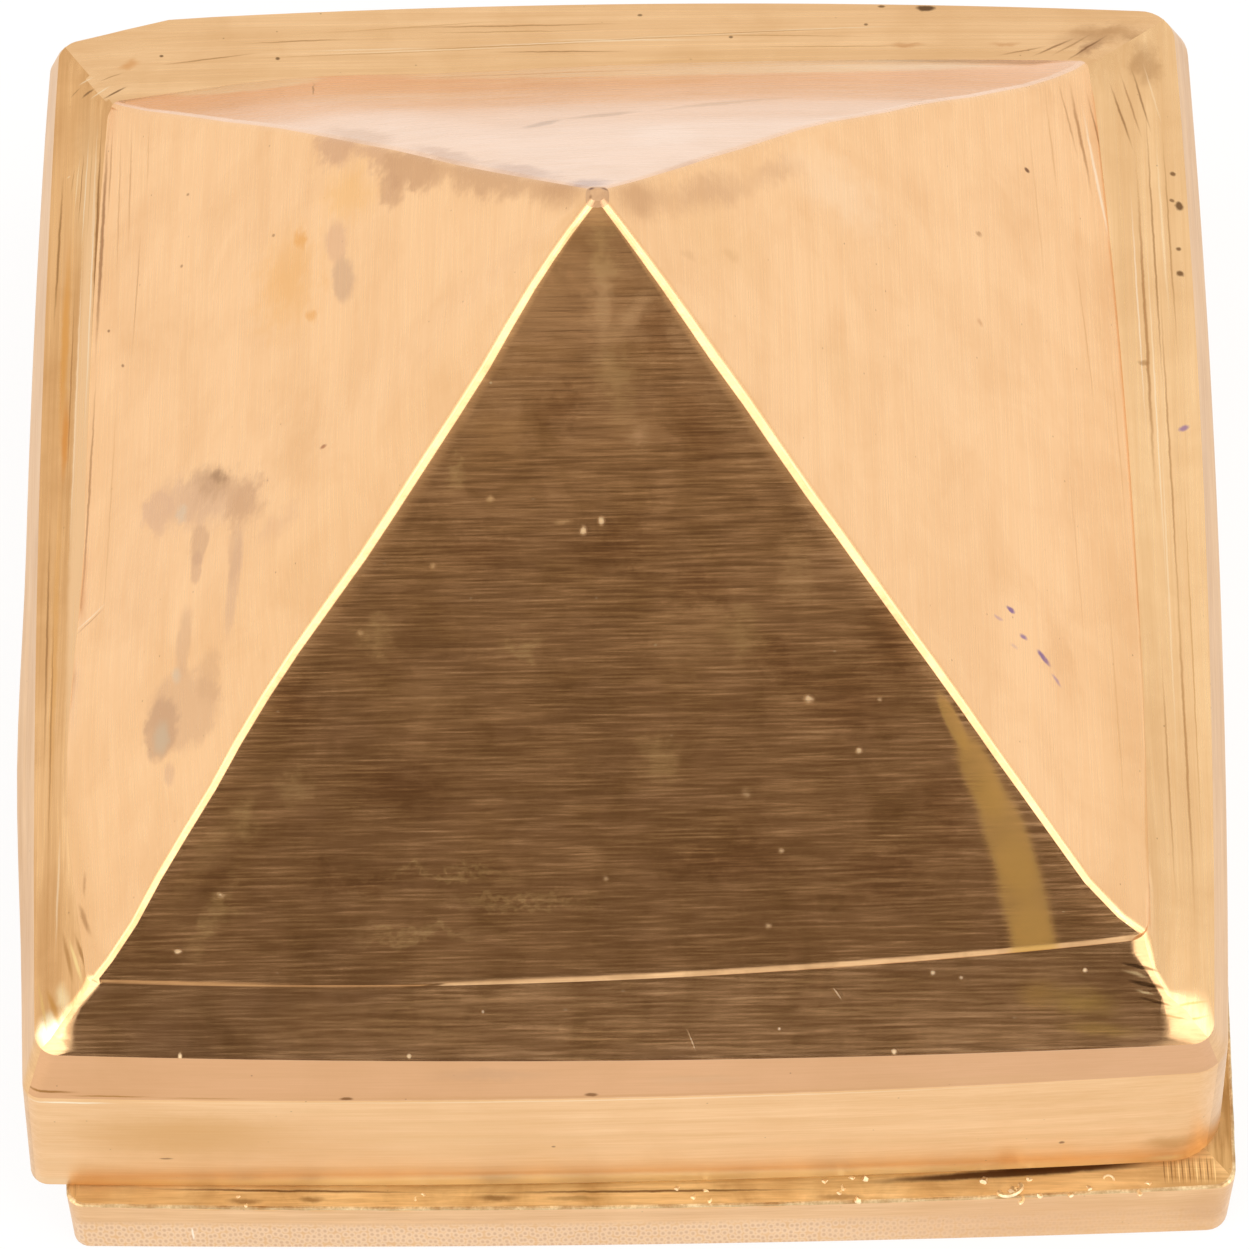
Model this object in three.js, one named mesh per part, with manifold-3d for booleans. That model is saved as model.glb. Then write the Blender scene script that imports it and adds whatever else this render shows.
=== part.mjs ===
// Brass vastu pyramid: a hollow cover over a plate of nine small pyramids, on a rebated base plate.
// Millimetres, +Z up. The origin is the middle of the base plate's underside, and the front is -Y.
import * as THREE from 'three';
import { mergeVertices } from 'three/addons/utils/BufferGeometryUtils.js';
import Module from 'manifold-3d';

const wasm = await Module();
wasm.setup();

// Base plate: a cast square slab, milled down round its rim to leave a raised square boss
const plateWidth = 50;
const plateDepth = 51.2;
const ledgeHeight = 4.5;
const plateBow = { front: 0.25, right: 0.7, back: 0.4, left: 0.7 };
const plateCorner = { frontLeft: 0.8, frontRight: 1.1, backRight: 1, backLeft: 0.9 };
const plateFootBreak = 0.45;
const plateRimBreak = 0.12;
const bossWidth = 42.4;
const bossHeight = 1.5;
const bossCorner = 2;
const bossBreak = 0.25;
const bossOffset = { x: -0.8, y: 0.55 };

// Plate of nine small pyramids, lying loose on the boss
const ninePlateInset = 0.5;
const ninePlateThickness = 1.8;
const ninePlateCorner = 1.5;
const ninePlateBreak = 0.3;
const ninePlateBorder = 0.9;
const smallPyramidRows = 3;
const smallPyramidValley = 0.5;
const smallPyramidRiseShare = 0.62;
const smallPyramidRidge = 0.3;
const smallPyramidTip = 0.3;
const smallPyramidRoot = 0.6;

// Cover: skirt, steep filed break above it, low shoulder, then the main pyramid
const coverWidth = 50.8;
const coverDepth = 51.1;
const skirtHeight = 8.8;
const skirtDraft = 0.38;
const skirtBow = { front: 0.25, right: 0.4, back: 0.75, left: 0.4 };
const skirtCorner = { frontLeft: 1.1, frontRight: 2.6, backRight: 1.4, backLeft: 1.9 };
const skirtFootBreak = 0.35;
const breakInset = 0.8;
const breakHeight = 2.5;
const shoulderWidth = { front: 3.05, right: 3.06, back: 4.15, left: 2.32 };
const shoulderRise = 1.2;
const creaseSkew = 0.5;
const ridgeRound = 0.45;
const pyramidHeight = 26.8;
const apexOffset = { x: -0.58, y: 0 };
const tipWidth = 0.9;
const tipRound = 0.3;
const tipRise = 0.22;

// Hollow of the cover
const locatingPlay = 1.5;
const coverWall = 2.6;
const hollowDraft = 0.3;
const hollowCorner = 1;
const hollowFillet = 1.3;
const hollowTipWidth = 2.4;
const cutOverrun = 2;
// where the cover has settled inside its play, as shares of that play
const settledShares = { x: -0.04, y: 0.067 };

// Facet counts
const sideSteps = 10;
const cornerSteps = 5;
const smallCornerSteps = 2;

// Derived sizes
const bossTop = ledgeHeight + bossHeight;
const ninePlateWidth = bossWidth - 2 * ninePlateInset;
const smallPyramidPitch = (ninePlateWidth - 2 * ninePlateBorder) / smallPyramidRows;
const smallPyramidWidth = smallPyramidPitch - smallPyramidValley;
const smallPyramidHeight = smallPyramidWidth * smallPyramidRiseShare;
const breakTop = skirtHeight + breakHeight;
const creaseHeight = breakTop + shoulderRise;
const apexHeight = creaseHeight + pyramidHeight;
const coverPlace = {
  x: bossOffset.x + settledShares.x * locatingPlay,
  y: bossOffset.y + settledShares.y * locatingPlay,
};

// The same distance on all four sides
function evenSides(distance) {
  return { front: distance, right: distance, back: distance, left: distance };
}

// The same radius at all four corners
function evenCorners(radius) {
  return { frontLeft: radius, frontRight: radius, backRight: radius, backLeft: radius };
}

// Half of a width and a depth, as distances of the four sides from the axis
function halfSides(width, depth) {
  return { front: depth / 2, right: width / 2, back: depth / 2, left: width / 2 };
}

// Moves all four sides inwards
function insetSides(sides, inset) {
  const result = {};
  for (const [name, distance] of Object.entries(sides)) {
    result[name] = distance - (typeof inset === 'number' ? inset : inset[name]);
  }
  return result;
}

// Shrinks corner radii with the outline, down to a least radius
function insetCorners(corners, inset, least) {
  const result = {};
  for (const [name, radius] of Object.entries(corners)) {
    result[name] = Math.max(radius - inset, least);
  }
  return result;
}

// One closed outline at height z, anticlockwise from the front left corner. Each side has its own distance from
// the axis at its middle and falls back by its bow towards the corners. Skew turns the front and back sides alone.
function outline({ sides, corners, bow = evenSides(0), skew = 0, centre = { x: 0, y: 0 }, z, steps = sideSteps,
  arcSteps = cornerSteps }) {
  const { front, right, back, left } = insetSides(sides, bow);
  const sharp = [
    new THREE.Vector2(-left, -front - skew),
    new THREE.Vector2(right, -front + skew),
    new THREE.Vector2(right, back + skew),
    new THREE.Vector2(-left, back - skew),
  ];
  const radii = [corners.frontLeft, corners.frontRight, corners.backRight, corners.backLeft];
  const bows = [bow.front, bow.right, bow.back, bow.left];
  const along = sharp.map((corner, i) => sharp[(i + 1) % 4].clone().sub(corner).normalize());
  const points = [];
  for (let i = 0; i < 4; i += 1) {
    const arriving = along[(i + 3) % 4];
    const leaving = along[i];
    for (let j = 0; j <= arcSteps; j += 1) {
      const angle = (j / arcSteps) * Math.PI / 2;
      points.push(sharp[i].clone()
        .addScaledVector(arriving, radii[i] * (Math.sin(angle) - 1))
        .addScaledVector(leaving, radii[i] * (1 - Math.cos(angle))));
    }
    const next = (i + 1) % 4;
    const from = sharp[i].clone().addScaledVector(leaving, radii[i]);
    const to = sharp[next].clone().addScaledVector(leaving, -radii[next]);
    const outwards = new THREE.Vector2(leaving.y, -leaving.x);
    for (let j = 1; j < steps; j += 1) {
      const share = j / steps;
      const rise = bows[i] * (1 - (2 * share - 1) ** 2);
      points.push(from.clone().lerp(to, share).addScaledVector(outwards, rise));
    }
  }
  return points.map((point) => new THREE.Vector3(point.x + centre.x, point.y + centre.y, z));
}

// Closed solid through a stack of outlines with equal point counts, from the lowest to the last
function loft(outlines) {
  const count = outlines[0].length;
  const positions = [];
  const index = [];
  for (const ring of outlines) {
    for (const point of ring) positions.push(point.x, point.y, point.z);
  }
  for (let level = 0; level + 1 < outlines.length; level += 1) {
    for (let j = 0; j < count; j += 1) {
      const a = level * count + j;
      const b = level * count + (j + 1) % count;
      index.push(a, b, b + count, a, b + count, a + count);
    }
  }
  const capEnd = (ring, firstIndex, facesUp) => {
    const middle = ring.reduce((sum, point) => sum.add(point), new THREE.Vector3()).divideScalar(count);
    const hub = positions.length / 3;
    positions.push(middle.x, middle.y, middle.z);
    for (let j = 0; j < count; j += 1) {
      const a = firstIndex + j;
      const b = firstIndex + (j + 1) % count;
      if (facesUp) index.push(hub, a, b);
      else index.push(hub, b, a);
    }
  };
  capEnd(outlines[0], 0, false);
  capEnd(outlines.at(-1), (outlines.length - 1) * count, true);
  const geometry = new THREE.BufferGeometry();
  geometry.setAttribute('position', new THREE.Float32BufferAttribute(positions, 3));
  geometry.setIndex(index);
  return geometry;
}

function toSolid(geometry) {
  const merged = mergeVertices(geometry);
  return new wasm.Manifold(new wasm.Mesh({
    numProp: 3,
    vertProperties: new Float32Array(merged.getAttribute('position').array),
    triVerts: new Uint32Array(merged.getIndex().array),
  }));
}

function toGeometry(solid) {
  const mesh = solid.getMesh();
  const geometry = new THREE.BufferGeometry();
  geometry.setAttribute('position', new THREE.BufferAttribute(new Float32Array(mesh.vertProperties), 3));
  geometry.setIndex(new THREE.BufferAttribute(new Uint32Array(mesh.triVerts), 1));
  return geometry;
}

// Slab with a milled ledge round a raised boss; its upper and lower edges are broken with a file
function basePlate() {
  const sides = halfSides(plateWidth, plateDepth);
  const bossSides = evenSides(bossWidth / 2);
  const slab = (inset, z) => outline({
    sides: insetSides(sides, inset),
    corners: insetCorners(plateCorner, inset, plateRimBreak),
    bow: plateBow,
    z,
  });
  const boss = (inset, z) => outline({
    sides: insetSides(bossSides, inset),
    corners: evenCorners(bossCorner - inset),
    centre: bossOffset,
    z,
  });
  return loft([
    slab(plateFootBreak, 0),
    slab(0, plateFootBreak),
    slab(0, ledgeHeight - plateRimBreak),
    slab(plateRimBreak, ledgeHeight),
    boss(0, ledgeHeight),
    boss(0, bossTop - bossBreak),
    boss(bossBreak, bossTop),
  ]);
}

// One of the nine small pyramids, standing on z = 0 with a root below it that is cast into its plate
function smallPyramid() {
  const level = (width, radius, z) => outline({
    sides: halfSides(width, width),
    corners: evenCorners(radius),
    z,
    steps: 1,
    arcSteps: smallCornerSteps,
  });
  return loft([
    level(smallPyramidWidth, smallPyramidRidge, -smallPyramidRoot),
    level(smallPyramidWidth, smallPyramidRidge, 0),
    level(2 * smallPyramidTip, smallPyramidTip, smallPyramidHeight),
  ]);
}

// Loose cast plate with three rows of three small pyramids, standing on z = 0
function ninePyramidPlate() {
  const half = evenSides(ninePlateWidth / 2);
  const level = (inset, z) => outline({
    sides: insetSides(half, inset),
    corners: evenCorners(ninePlateCorner - inset),
    z,
    steps: 1,
  });
  let solid = toSolid(loft([
    level(ninePlateBreak, 0),
    level(0, ninePlateBreak),
    level(0, ninePlateThickness - ninePlateBreak),
    level(ninePlateBreak, ninePlateThickness),
  ]));
  const middle = (smallPyramidRows - 1) / 2;
  for (let row = 0; row < smallPyramidRows; row += 1) {
    for (let column = 0; column < smallPyramidRows; column += 1) {
      const pyramid = smallPyramid();
      pyramid.translate((column - middle) * smallPyramidPitch, (row - middle) * smallPyramidPitch, ninePlateThickness);
      solid = solid.add(toSolid(pyramid));
    }
  }
  return toGeometry(solid);
}

// Sides of the crease where the main pyramid rises from the shoulder
function creaseSides() {
  const skirtTop = insetSides(halfSides(coverWidth, coverDepth), skirtDraft);
  return insetSides(insetSides(skirtTop, breakInset), shoulderWidth);
}

// Outside of the cover, standing on z = 0
function coverOutside() {
  const foot = halfSides(coverWidth, coverDepth);
  const skirt = (inset, z) => outline({
    sides: insetSides(foot, inset),
    corners: insetCorners(skirtCorner, inset, ridgeRound),
    bow: skirtBow,
    z,
  });
  return loft([
    skirt(skirtFootBreak, 0),
    skirt(0, skirtFootBreak),
    skirt(skirtDraft, skirtHeight),
    skirt(skirtDraft + breakInset, breakTop),
    outline({ sides: creaseSides(), corners: evenCorners(ridgeRound), skew: creaseSkew, z: creaseHeight }),
    outline({
      sides: evenSides(tipWidth / 2),
      corners: evenCorners(tipRound),
      centre: apexOffset,
      z: apexHeight - tipRise,
    }),
    outline({
      sides: evenSides(tipWidth / 4),
      corners: evenCorners(tipRound / 2),
      centre: apexOffset,
      z: apexHeight,
    }),
  ]);
}

// Core that leaves the cover's hollow: upright walls that clear the boss by the locating play, a fillet, and four
// faces parallel to the main pyramid's, one wall thickness inside it
function coverHollow() {
  const crease = creaseSides();
  const halfFoot = Math.min(crease.front, crease.right, crease.back, crease.left);
  const steepest = Math.atan2(pyramidHeight, halfFoot);
  const roofDrop = coverWall / Math.cos(steepest);
  const roofFoot = creaseHeight - roofDrop;
  const tipDrop = (hollowTipWidth / 2) * Math.tan(steepest);
  const mouth = evenSides(bossWidth / 2 + locatingPlay);
  const wall = (inset, z) => outline({
    sides: insetSides(mouth, inset),
    corners: evenCorners(hollowCorner),
    z,
  });
  return loft([
    wall(0, -cutOverrun),
    wall(0, 0),
    wall(hollowDraft, roofFoot - hollowFillet),
    outline({ sides: crease, corners: evenCorners(hollowCorner), skew: creaseSkew, z: roofFoot }),
    outline({
      sides: evenSides(hollowTipWidth / 2),
      corners: evenCorners(hollowTipWidth / 4),
      centre: apexOffset,
      z: apexHeight - roofDrop - tipDrop,
    }),
  ]);
}

function pyramidCover() {
  return toGeometry(toSolid(coverOutside()).subtract(toSolid(coverHollow())));
}

function brass(colour, roughness) {
  return new THREE.MeshStandardMaterial({ color: colour, roughness, metalness: 1 });
}

function part(name, geometry, material, place) {
  const mesh = new THREE.Mesh(geometry, material);
  mesh.name = name;
  mesh.position.set(place.x, place.y, place.z);
  return mesh;
}

const vastuPyramid = new THREE.Group();
vastuPyramid.add(
  part('base_plate', basePlate(), brass('#d8a671', 0.32), { x: 0, y: 0, z: 0 }),
  part('nine_pyramid_plate', ninePyramidPlate(), brass('#c9974f', 0.48), { ...bossOffset, z: bossTop }),
  part('pyramid_cover', pyramidCover(), brass('#e8bd86', 0.26), { ...coverPlace, z: ledgeHeight }),
);

export default vastuPyramid;
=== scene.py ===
"""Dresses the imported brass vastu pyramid: its cover, its plate of nine small pyramids and its base plate."""

import logging
import math
from dataclasses import dataclass, replace
from enum import Enum
from typing import Any, Callable, Sequence

import bmesh
import bpy
from mathutils import Matrix, Vector


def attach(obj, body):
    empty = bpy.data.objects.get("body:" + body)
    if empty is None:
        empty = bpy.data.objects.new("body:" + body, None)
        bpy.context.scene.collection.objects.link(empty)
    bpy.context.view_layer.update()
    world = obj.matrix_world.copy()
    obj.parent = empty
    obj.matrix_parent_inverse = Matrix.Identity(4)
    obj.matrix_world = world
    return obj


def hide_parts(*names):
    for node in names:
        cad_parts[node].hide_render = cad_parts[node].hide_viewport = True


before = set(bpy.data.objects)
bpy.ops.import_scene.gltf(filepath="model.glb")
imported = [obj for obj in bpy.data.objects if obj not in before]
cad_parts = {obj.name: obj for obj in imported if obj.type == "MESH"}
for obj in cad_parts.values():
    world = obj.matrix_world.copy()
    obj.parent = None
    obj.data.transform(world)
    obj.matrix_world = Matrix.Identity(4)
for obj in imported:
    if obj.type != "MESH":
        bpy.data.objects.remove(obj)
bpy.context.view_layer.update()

LOG = logging.getLogger("vastu_pyramid")

# Shapes are made in bench millimetres and brought to metres when a piece is seated.
MM = 0.001
# The cover stands this far from the base plate's middle, where it was put down on the ledge.
COVER_PLACE = (-0.86, 0.6505, 4.5)
# Two places nearer than this are one, in millimetres, and two equal lengths differ by less than a hair.
CLOSE = 1e-3
HAIR = 1e-5
# The four corners in their order: front left, front right, back right and back left.
CORNER_SIGNS = ((-1, -1), (1, -1), (1, 1), (-1, 1))
# A half size beyond any piece, for a mark that runs through the whole depth or height of a face.
THROUGH = 1000.0
# From one bite of the cross-cut file to the next, and from one row of them to the next, in millimetres.
TOOTH_PITCH = 0.27
TOOTH_ROW = 0.66

Pair = tuple[float, float]
Point = tuple[float, float, float]
Four = tuple[float, float, float, float]
Colour = tuple[float, float, float, float]
Corners = tuple[Point, Point, Point, Point]


class Element(Enum):
    """What is picked in edit mode."""

    VERTEX = "VERT"
    EDGE = "EDGE"
    FACE = "FACE"


class Fade(Enum):
    """How a pull at one point of a line fades along it."""

    BOW = "INVERSE_SQUARE"
    TOUCH = "SMOOTH"


class Lay(Enum):
    """The way in which the file and the brush went over a face."""

    ACROSS = "across"
    ALONG = "along"
    CAST = "cast"


# Selection and edit mode


def activate(piece: bpy.types.Object) -> None:
    """Deselects everything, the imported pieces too, and makes one piece active."""
    if bpy.context.mode != "OBJECT":
        close_mesh()
    bpy.ops.object.select_all(action="DESELECT")
    piece.select_set(True)
    bpy.context.view_layer.objects.active = piece


def open_mesh(piece: bpy.types.Object) -> None:
    """Goes into edit mode on one piece with nothing selected."""
    activate(piece)
    bpy.ops.object.mode_set(mode="EDIT")
    bpy.ops.mesh.select_mode(type=Element.VERTEX.value)
    bpy.ops.mesh.select_all(action="DESELECT")


def close_mesh() -> None:
    """Leaves edit mode."""
    bpy.ops.object.mode_set(mode="OBJECT")


def turn_outwards() -> None:
    """Turns all faces of the piece in edit mode outwards, and leaves edit mode."""
    bpy.ops.mesh.select_all(action="SELECT")
    bpy.ops.mesh.normals_make_consistent(inside=False)
    close_mesh()


def pick(piece: bpy.types.Object, element: Element, test: Callable[[Any], bool]) -> None:
    """Selects the vertices, edges or faces that a test accepts, and nothing else.

    Args:
        piece: the object in edit mode.
        element: what to pick.
        test: says whether one vertex, edge or face is wanted.
    """
    bpy.ops.mesh.select_mode(type=element.value)
    bpy.ops.mesh.select_all(action="DESELECT")
    mesh = bmesh.from_edit_mesh(piece.data)
    parts = {Element.VERTEX: mesh.verts, Element.EDGE: mesh.edges, Element.FACE: mesh.faces}[element]
    for part in [part for part in parts if test(part)]:
        part.select_set(True)
    mesh.select_flush_mode()
    bmesh.update_edit_mesh(piece.data)


def pick_point(piece: bpy.types.Object, place: Vector) -> None:
    """Selects the one vertex nearest to a place."""
    mesh = bmesh.from_edit_mesh(piece.data)
    nearest = min((vertex.co - place).length for vertex in mesh.verts)
    pick(piece, Element.VERTEX, lambda vertex: (vertex.co - place).length <= nearest + HAIR)


def pick_lines(*names: str) -> None:
    """Selects the vertices of some lines of the piece in edit mode, and nothing else."""
    bpy.ops.mesh.select_mode(type=Element.VERTEX.value)
    bpy.ops.mesh.select_all(action="DESELECT")
    for name in names:
        bpy.ops.object.vertex_group_set_active(group=name)
        bpy.ops.object.vertex_group_select()


def pull(piece: bpy.types.Object, place: Vector, way: Sequence[float], reach: float, fade: Fade) -> None:
    """Moves one point of a line, and its neighbours less and less.

    Args:
        piece: the line, in edit mode.
        place: the point, or a place near it.
        way: how far it moves.
        reach: how far along the line the pull is felt.
        fade: how it fades.
    """
    pick_point(piece, place)
    bpy.ops.transform.translate(
        value=way,
        use_proportional_edit=True,
        proportional_edit_falloff=fade.value,
        proportional_size=reach,
        use_proportional_connected=True,
    )


def join(pieces: Sequence[bpy.types.Object]) -> bpy.types.Object:
    """Joins pieces into the first of them."""
    activate(pieces[0])
    for piece in pieces[1:]:
        piece.select_set(True)
    bpy.ops.object.join()
    return bpy.context.object


def copy_of(piece: bpy.types.Object) -> bpy.types.Object:
    """Copies a piece with its own mesh."""
    activate(piece)
    bpy.ops.object.duplicate(linked=False)
    return bpy.context.object


def seat(piece: bpy.types.Object, name: str, place: Point, smooth_below: float) -> bpy.types.Object:
    """Smooths a finished piece and brings it from the bench to its place in the object.

    Args:
        piece: the piece, made in bench millimetres round its own middle.
        name: the piece's name.
        place: where its middle goes, in millimetres.
        smooth_below: the angle between two faces, in degrees, below which the metal between them looks round.

    Returns:
        The piece, in metres, with its place in its mesh.
    """
    activate(piece)
    bpy.ops.object.shade_smooth_by_angle(angle=math.radians(smooth_below))
    piece.name = name
    piece.data.name = name
    piece.scale = (MM, MM, MM)
    piece.location = [part * MM for part in place]
    bpy.ops.object.transform_apply(location=True, rotation=True, scale=True)
    return piece


# Outlines, the level lines from which the filed bodies are built


def mixed(first: Sequence[float], second: Sequence[float], share: float) -> tuple[float, ...]:
    """Mixes two rows of sizes, part by part."""
    return tuple(a + (b - a) * share for a, b in zip(first, second))


@dataclass(frozen=True)
class Touch:
    """One pull of the file that takes a line out of true.

    Attributes:
        at: where it is strongest.
        by: how far the metal is moved there.
        reach: how far from there it is felt.
    """

    at: Point
    by: Point
    reach: float


@dataclass(frozen=True)
class Outline:
    """A line round a square body with rounded corners and bowed sides, in bench millimetres.

    Attributes:
        name: what the line is on the piece.
        corners: the sharp corners, front left, front right, back right and back left.
        radii: the rounding of those corners.
        bows: how far the front, right, back and left sides bulge out.
        dips: how far the middles of those sides hang below their ends.
        touches: where the file left the line out of true.
    """

    name: str
    corners: Corners
    radii: Four
    bows: Four = (0.0, 0.0, 0.0, 0.0)
    dips: Four = (0.0, 0.0, 0.0, 0.0)
    touches: tuple[Touch, ...] = ()

    def between(self, other: "Outline", share: float, name: str) -> "Outline":
        """Gives the line that lies a share of the way to another one.

        Args:
            other: the line at share 1.
            share: how far along, 0 to 1.
            name: the new line's name.

        Returns:
            The new line; the touches of both fade with their shares.
        """
        middle = tuple(sum(parts) / 4 for parts in zip(*self.corners))
        rest = 1 - share
        touches = [replace(touch, by=tuple(part * rest for part in touch.by)) for touch in self.touches]
        for touch in other.touches:
            at = touch.at if self.touches else mixed(middle, touch.at, share)
            touches.append(Touch(at, tuple(part * share for part in touch.by), touch.reach * share))
        return Outline(
            name,
            tuple(mixed(mine, theirs, share) for mine, theirs in zip(self.corners, other.corners)),
            mixed(self.radii, other.radii, share),
            mixed(self.bows, other.bows, share),
            mixed(self.dips, other.dips, share),
            tuple(touches),
        )

    def moved(self, shifts: Corners, name: str) -> "Outline":
        """Gives the same line under another name, with its corners moved."""
        corners = (tuple(a + b for a, b in zip(corner, shift)) for corner, shift in zip(self.corners, shifts))
        return replace(self, name=name, corners=tuple(corners))

    def drawn_in(self, amount: float, rise: float, name: str) -> "Outline":
        """Gives the same line under another name, with its corners moved in and up."""
        return self.moved(tuple((-x * amount, -y * amount, rise) for x, y in CORNER_SIGNS), name)

    def draw(self, side_cuts: int, corner_steps: int) -> bpy.types.Object:
        """Draws the line as a closed loop of edges.

        Args:
            side_cuts: points along each side, an odd number so that one is in the middle.
            corner_steps: steps round each corner.

        Returns:
            The loop, with a vertex group named after the line.
        """
        bpy.ops.object.select_all(action="DESELECT")
        bpy.ops.mesh.primitive_plane_add(size=2.0, location=(0.0, 0.0, 0.0))
        loop = bpy.context.object
        open_mesh(loop)
        corners = [Vector(corner) for corner in self.corners]
        starts = [Vector((x, y, 0.0)) for x, y in CORNER_SIGNS]
        # each corner waits far out until all four are there, so that no two ever meet
        far_out = [start * 100.0 for start in starts]
        for places, targets in ((starts, far_out), (far_out, corners)):
            for place, target in zip(places, targets):
                pick(loop, Element.VERTEX, lambda vertex: (vertex.co - place).length < CLOSE)
                bpy.ops.transform.translate(value=target - place)
        for corner, radius in zip(corners, self.radii):
            pick_point(loop, corner)
            bpy.ops.mesh.bevel(
                offset=radius, offset_type="OFFSET", segments=corner_steps, affect="VERTICES", profile=0.5
            )
        bpy.ops.mesh.select_all(action="SELECT")
        bpy.ops.mesh.delete(type="ONLY_FACE")
        mesh = bmesh.from_edit_mesh(loop.data)
        side_length = sorted(edge.calc_length() for edge in mesh.edges)[-4] - HAIR
        pick(loop, Element.EDGE, lambda edge: edge.calc_length() >= side_length)
        bpy.ops.mesh.subdivide(number_cuts=side_cuts)
        for side, (bow, dip) in enumerate(zip(self.bows, self.dips)):
            if not (bow or dip):
                continue
            after = (side + 1) % len(corners)
            way = (corners[after] - corners[side]).normalized()
            first = corners[side] + way * self.radii[side]
            last = corners[after] - way * self.radii[after]
            out = Vector((way.y, -way.x, 0.0)).normalized()
            sag = Vector((0.0, 0.0, dip))
            pull(loop, (first + last) / 2, out * bow - sag, (last - first).length / 2, Fade.BOW)
        for touch in self.touches:
            pull(loop, Vector(touch.at), touch.by, touch.reach, Fade.TOUCH)
        bpy.ops.mesh.select_all(action="SELECT")
        bpy.ops.object.vertex_group_assign_new()
        close_mesh()
        loop.vertex_groups.active.name = self.name
        return loop


def square(name: str, half: float, height: float, radius: float, middle: Pair = (0.0, 0.0)) -> Outline:
    """Gives a true square line.

    Args:
        name: the line's name.
        half: half its width.
        height: its height.
        radius: the rounding of its corners.
        middle: where its middle is.

    Returns:
        The line.
    """
    corners = tuple((middle[0] + x * half, middle[1] + y * half, height) for x, y in CORNER_SIGNS)
    return Outline(name, corners, (radius,) * 4)


def loft(outlines: Sequence[Outline], side_cuts: int, corner_steps: int) -> bpy.types.Object:
    """Builds one closed body from its lines, in their order from one cap to the other.

    Args:
        outlines: the lines; the first and the last are closed by caps.
        side_cuts: points along each side of each line.
        corner_steps: steps round each corner.

    Returns:
        The body, with its faces outwards and a vertex group for each line.
    """
    body = join([outline.draw(side_cuts, corner_steps) for outline in outlines])
    open_mesh(body)
    for lower, upper in zip(outlines, outlines[1:]):
        pick_lines(lower.name, upper.name)
        bpy.ops.mesh.bridge_edge_loops()
    for cap in (outlines[0], outlines[-1]):
        pick_lines(cap.name)
        bpy.ops.mesh.edge_face_add()
    turn_outwards()
    return body


# Finishes


def linear(hex_code: str) -> Colour:
    """Turns an sRGB hex value into the linear colour that a shader takes."""
    parts = [int(hex_code.lstrip("#")[index : index + 2], 16) / 255.0 for index in (0, 2, 4)]
    return tuple(p / 12.92 if p <= 0.04045 else ((p + 0.055) / 1.055) ** 2.4 for p in parts) + (1.0,)


def empty_tree(holder: bpy.types.Material | bpy.types.World) -> bpy.types.NodeTree:
    """Turns on the nodes of a material or of the world, and clears them."""
    holder.use_nodes = True
    holder.node_tree.nodes.clear()
    return holder.node_tree


def add_node(
    tree: bpy.types.NodeTree, kind: str, links: dict[str | int, Any] | None = None, **settings: Any
) -> bpy.types.Node:
    """Adds one node with its settings, values and links.

    Args:
        tree: the node tree.
        kind: the node's Blender type.
        links: for each input socket its value, or the output socket that feeds it.
        settings: the node's own properties.

    Returns:
        The new node.
    """
    node = tree.nodes.new(kind)
    for name, value in settings.items():
        setattr(node, name, value)
    for name, value in (links or {}).items():
        if isinstance(value, bpy.types.NodeSocket):
            tree.links.new(value, node.inputs[name])
        else:
            node.inputs[name].default_value = value
    return node


@dataclass(frozen=True)
class Blot:
    """A stain, smear, scratch or pit, or a painted highlight, reflection or shadow, at one place of a finish, in
    the piece's own millimetres.

    Attributes:
        at: its middle, across and along, or across and up on an upright front.
        size: its half sizes in those two ways; in the third it runs right through the piece.
        colour: the metal's colour inside it, as sRGB hex.
        strength: how much of that colour shows, 0 to 1.
        turn: how far it is turned about the upright axis, in degrees.
        soft: how much of its size its edge takes, 0 to 1.
        ragged: how far its edge wanders, in millimetres.
        rough: how blurred the metal mirrors inside it; 0 leaves it as it is.
        upright: whether it lies on an upright front.
    """

    at: Pair
    size: Pair
    colour: str
    strength: float
    turn: float = 0.0
    soft: float = 0.6
    ragged: float = 0.5
    rough: float = 0.0
    upright: bool = False

    def in_space(self, pair: Pair, third: float) -> Point:
        """Puts the third size where it belongs among its place's or its half sizes' other two."""
        return (pair[0], third, pair[1]) if self.upright else (*pair, third)


def streak(
    start: Pair,
    end: Pair,
    width: float,
    colour: str,
    strength: float,
    soft: float = 0.8,
    ragged: float = 0.05,
    rough: float = 0.0,
) -> Blot:
    """Gives a groove, scratch or smear, or a thin painted highlight or shadow, from one place to another, seen
    from above.

    Args:
        start: one end, across and along.
        end: the other end.
        width: how wide it is.
        colour: the metal's colour inside it.
        strength: how much of that colour shows.
        soft: how much of its size its edge takes.
        ragged: how far its edge wanders.
        rough: how blurred the metal mirrors inside it.

    Returns:
        The mark.
    """
    middle = ((start[0] + end[0]) / 2, (start[1] + end[1]) / 2)
    way = (end[0] - start[0], end[1] - start[1])
    size = (math.hypot(*way) / 2, width / 2)
    return Blot(middle, size, colour, strength, math.degrees(math.atan2(way[1], way[0])), soft, ragged, rough)


def front_blot(
    at: Pair, size: Pair, colour: str, strength: float, soft: float = 0.6, ragged: float = 0.1
) -> Blot:
    """Gives a stain, or a painted highlight or reflection, on an upright front face, placed by its distance across
    and its height.
    """
    return Blot(at, size, colour, strength, 0.0, soft, ragged, upright=True)


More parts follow.
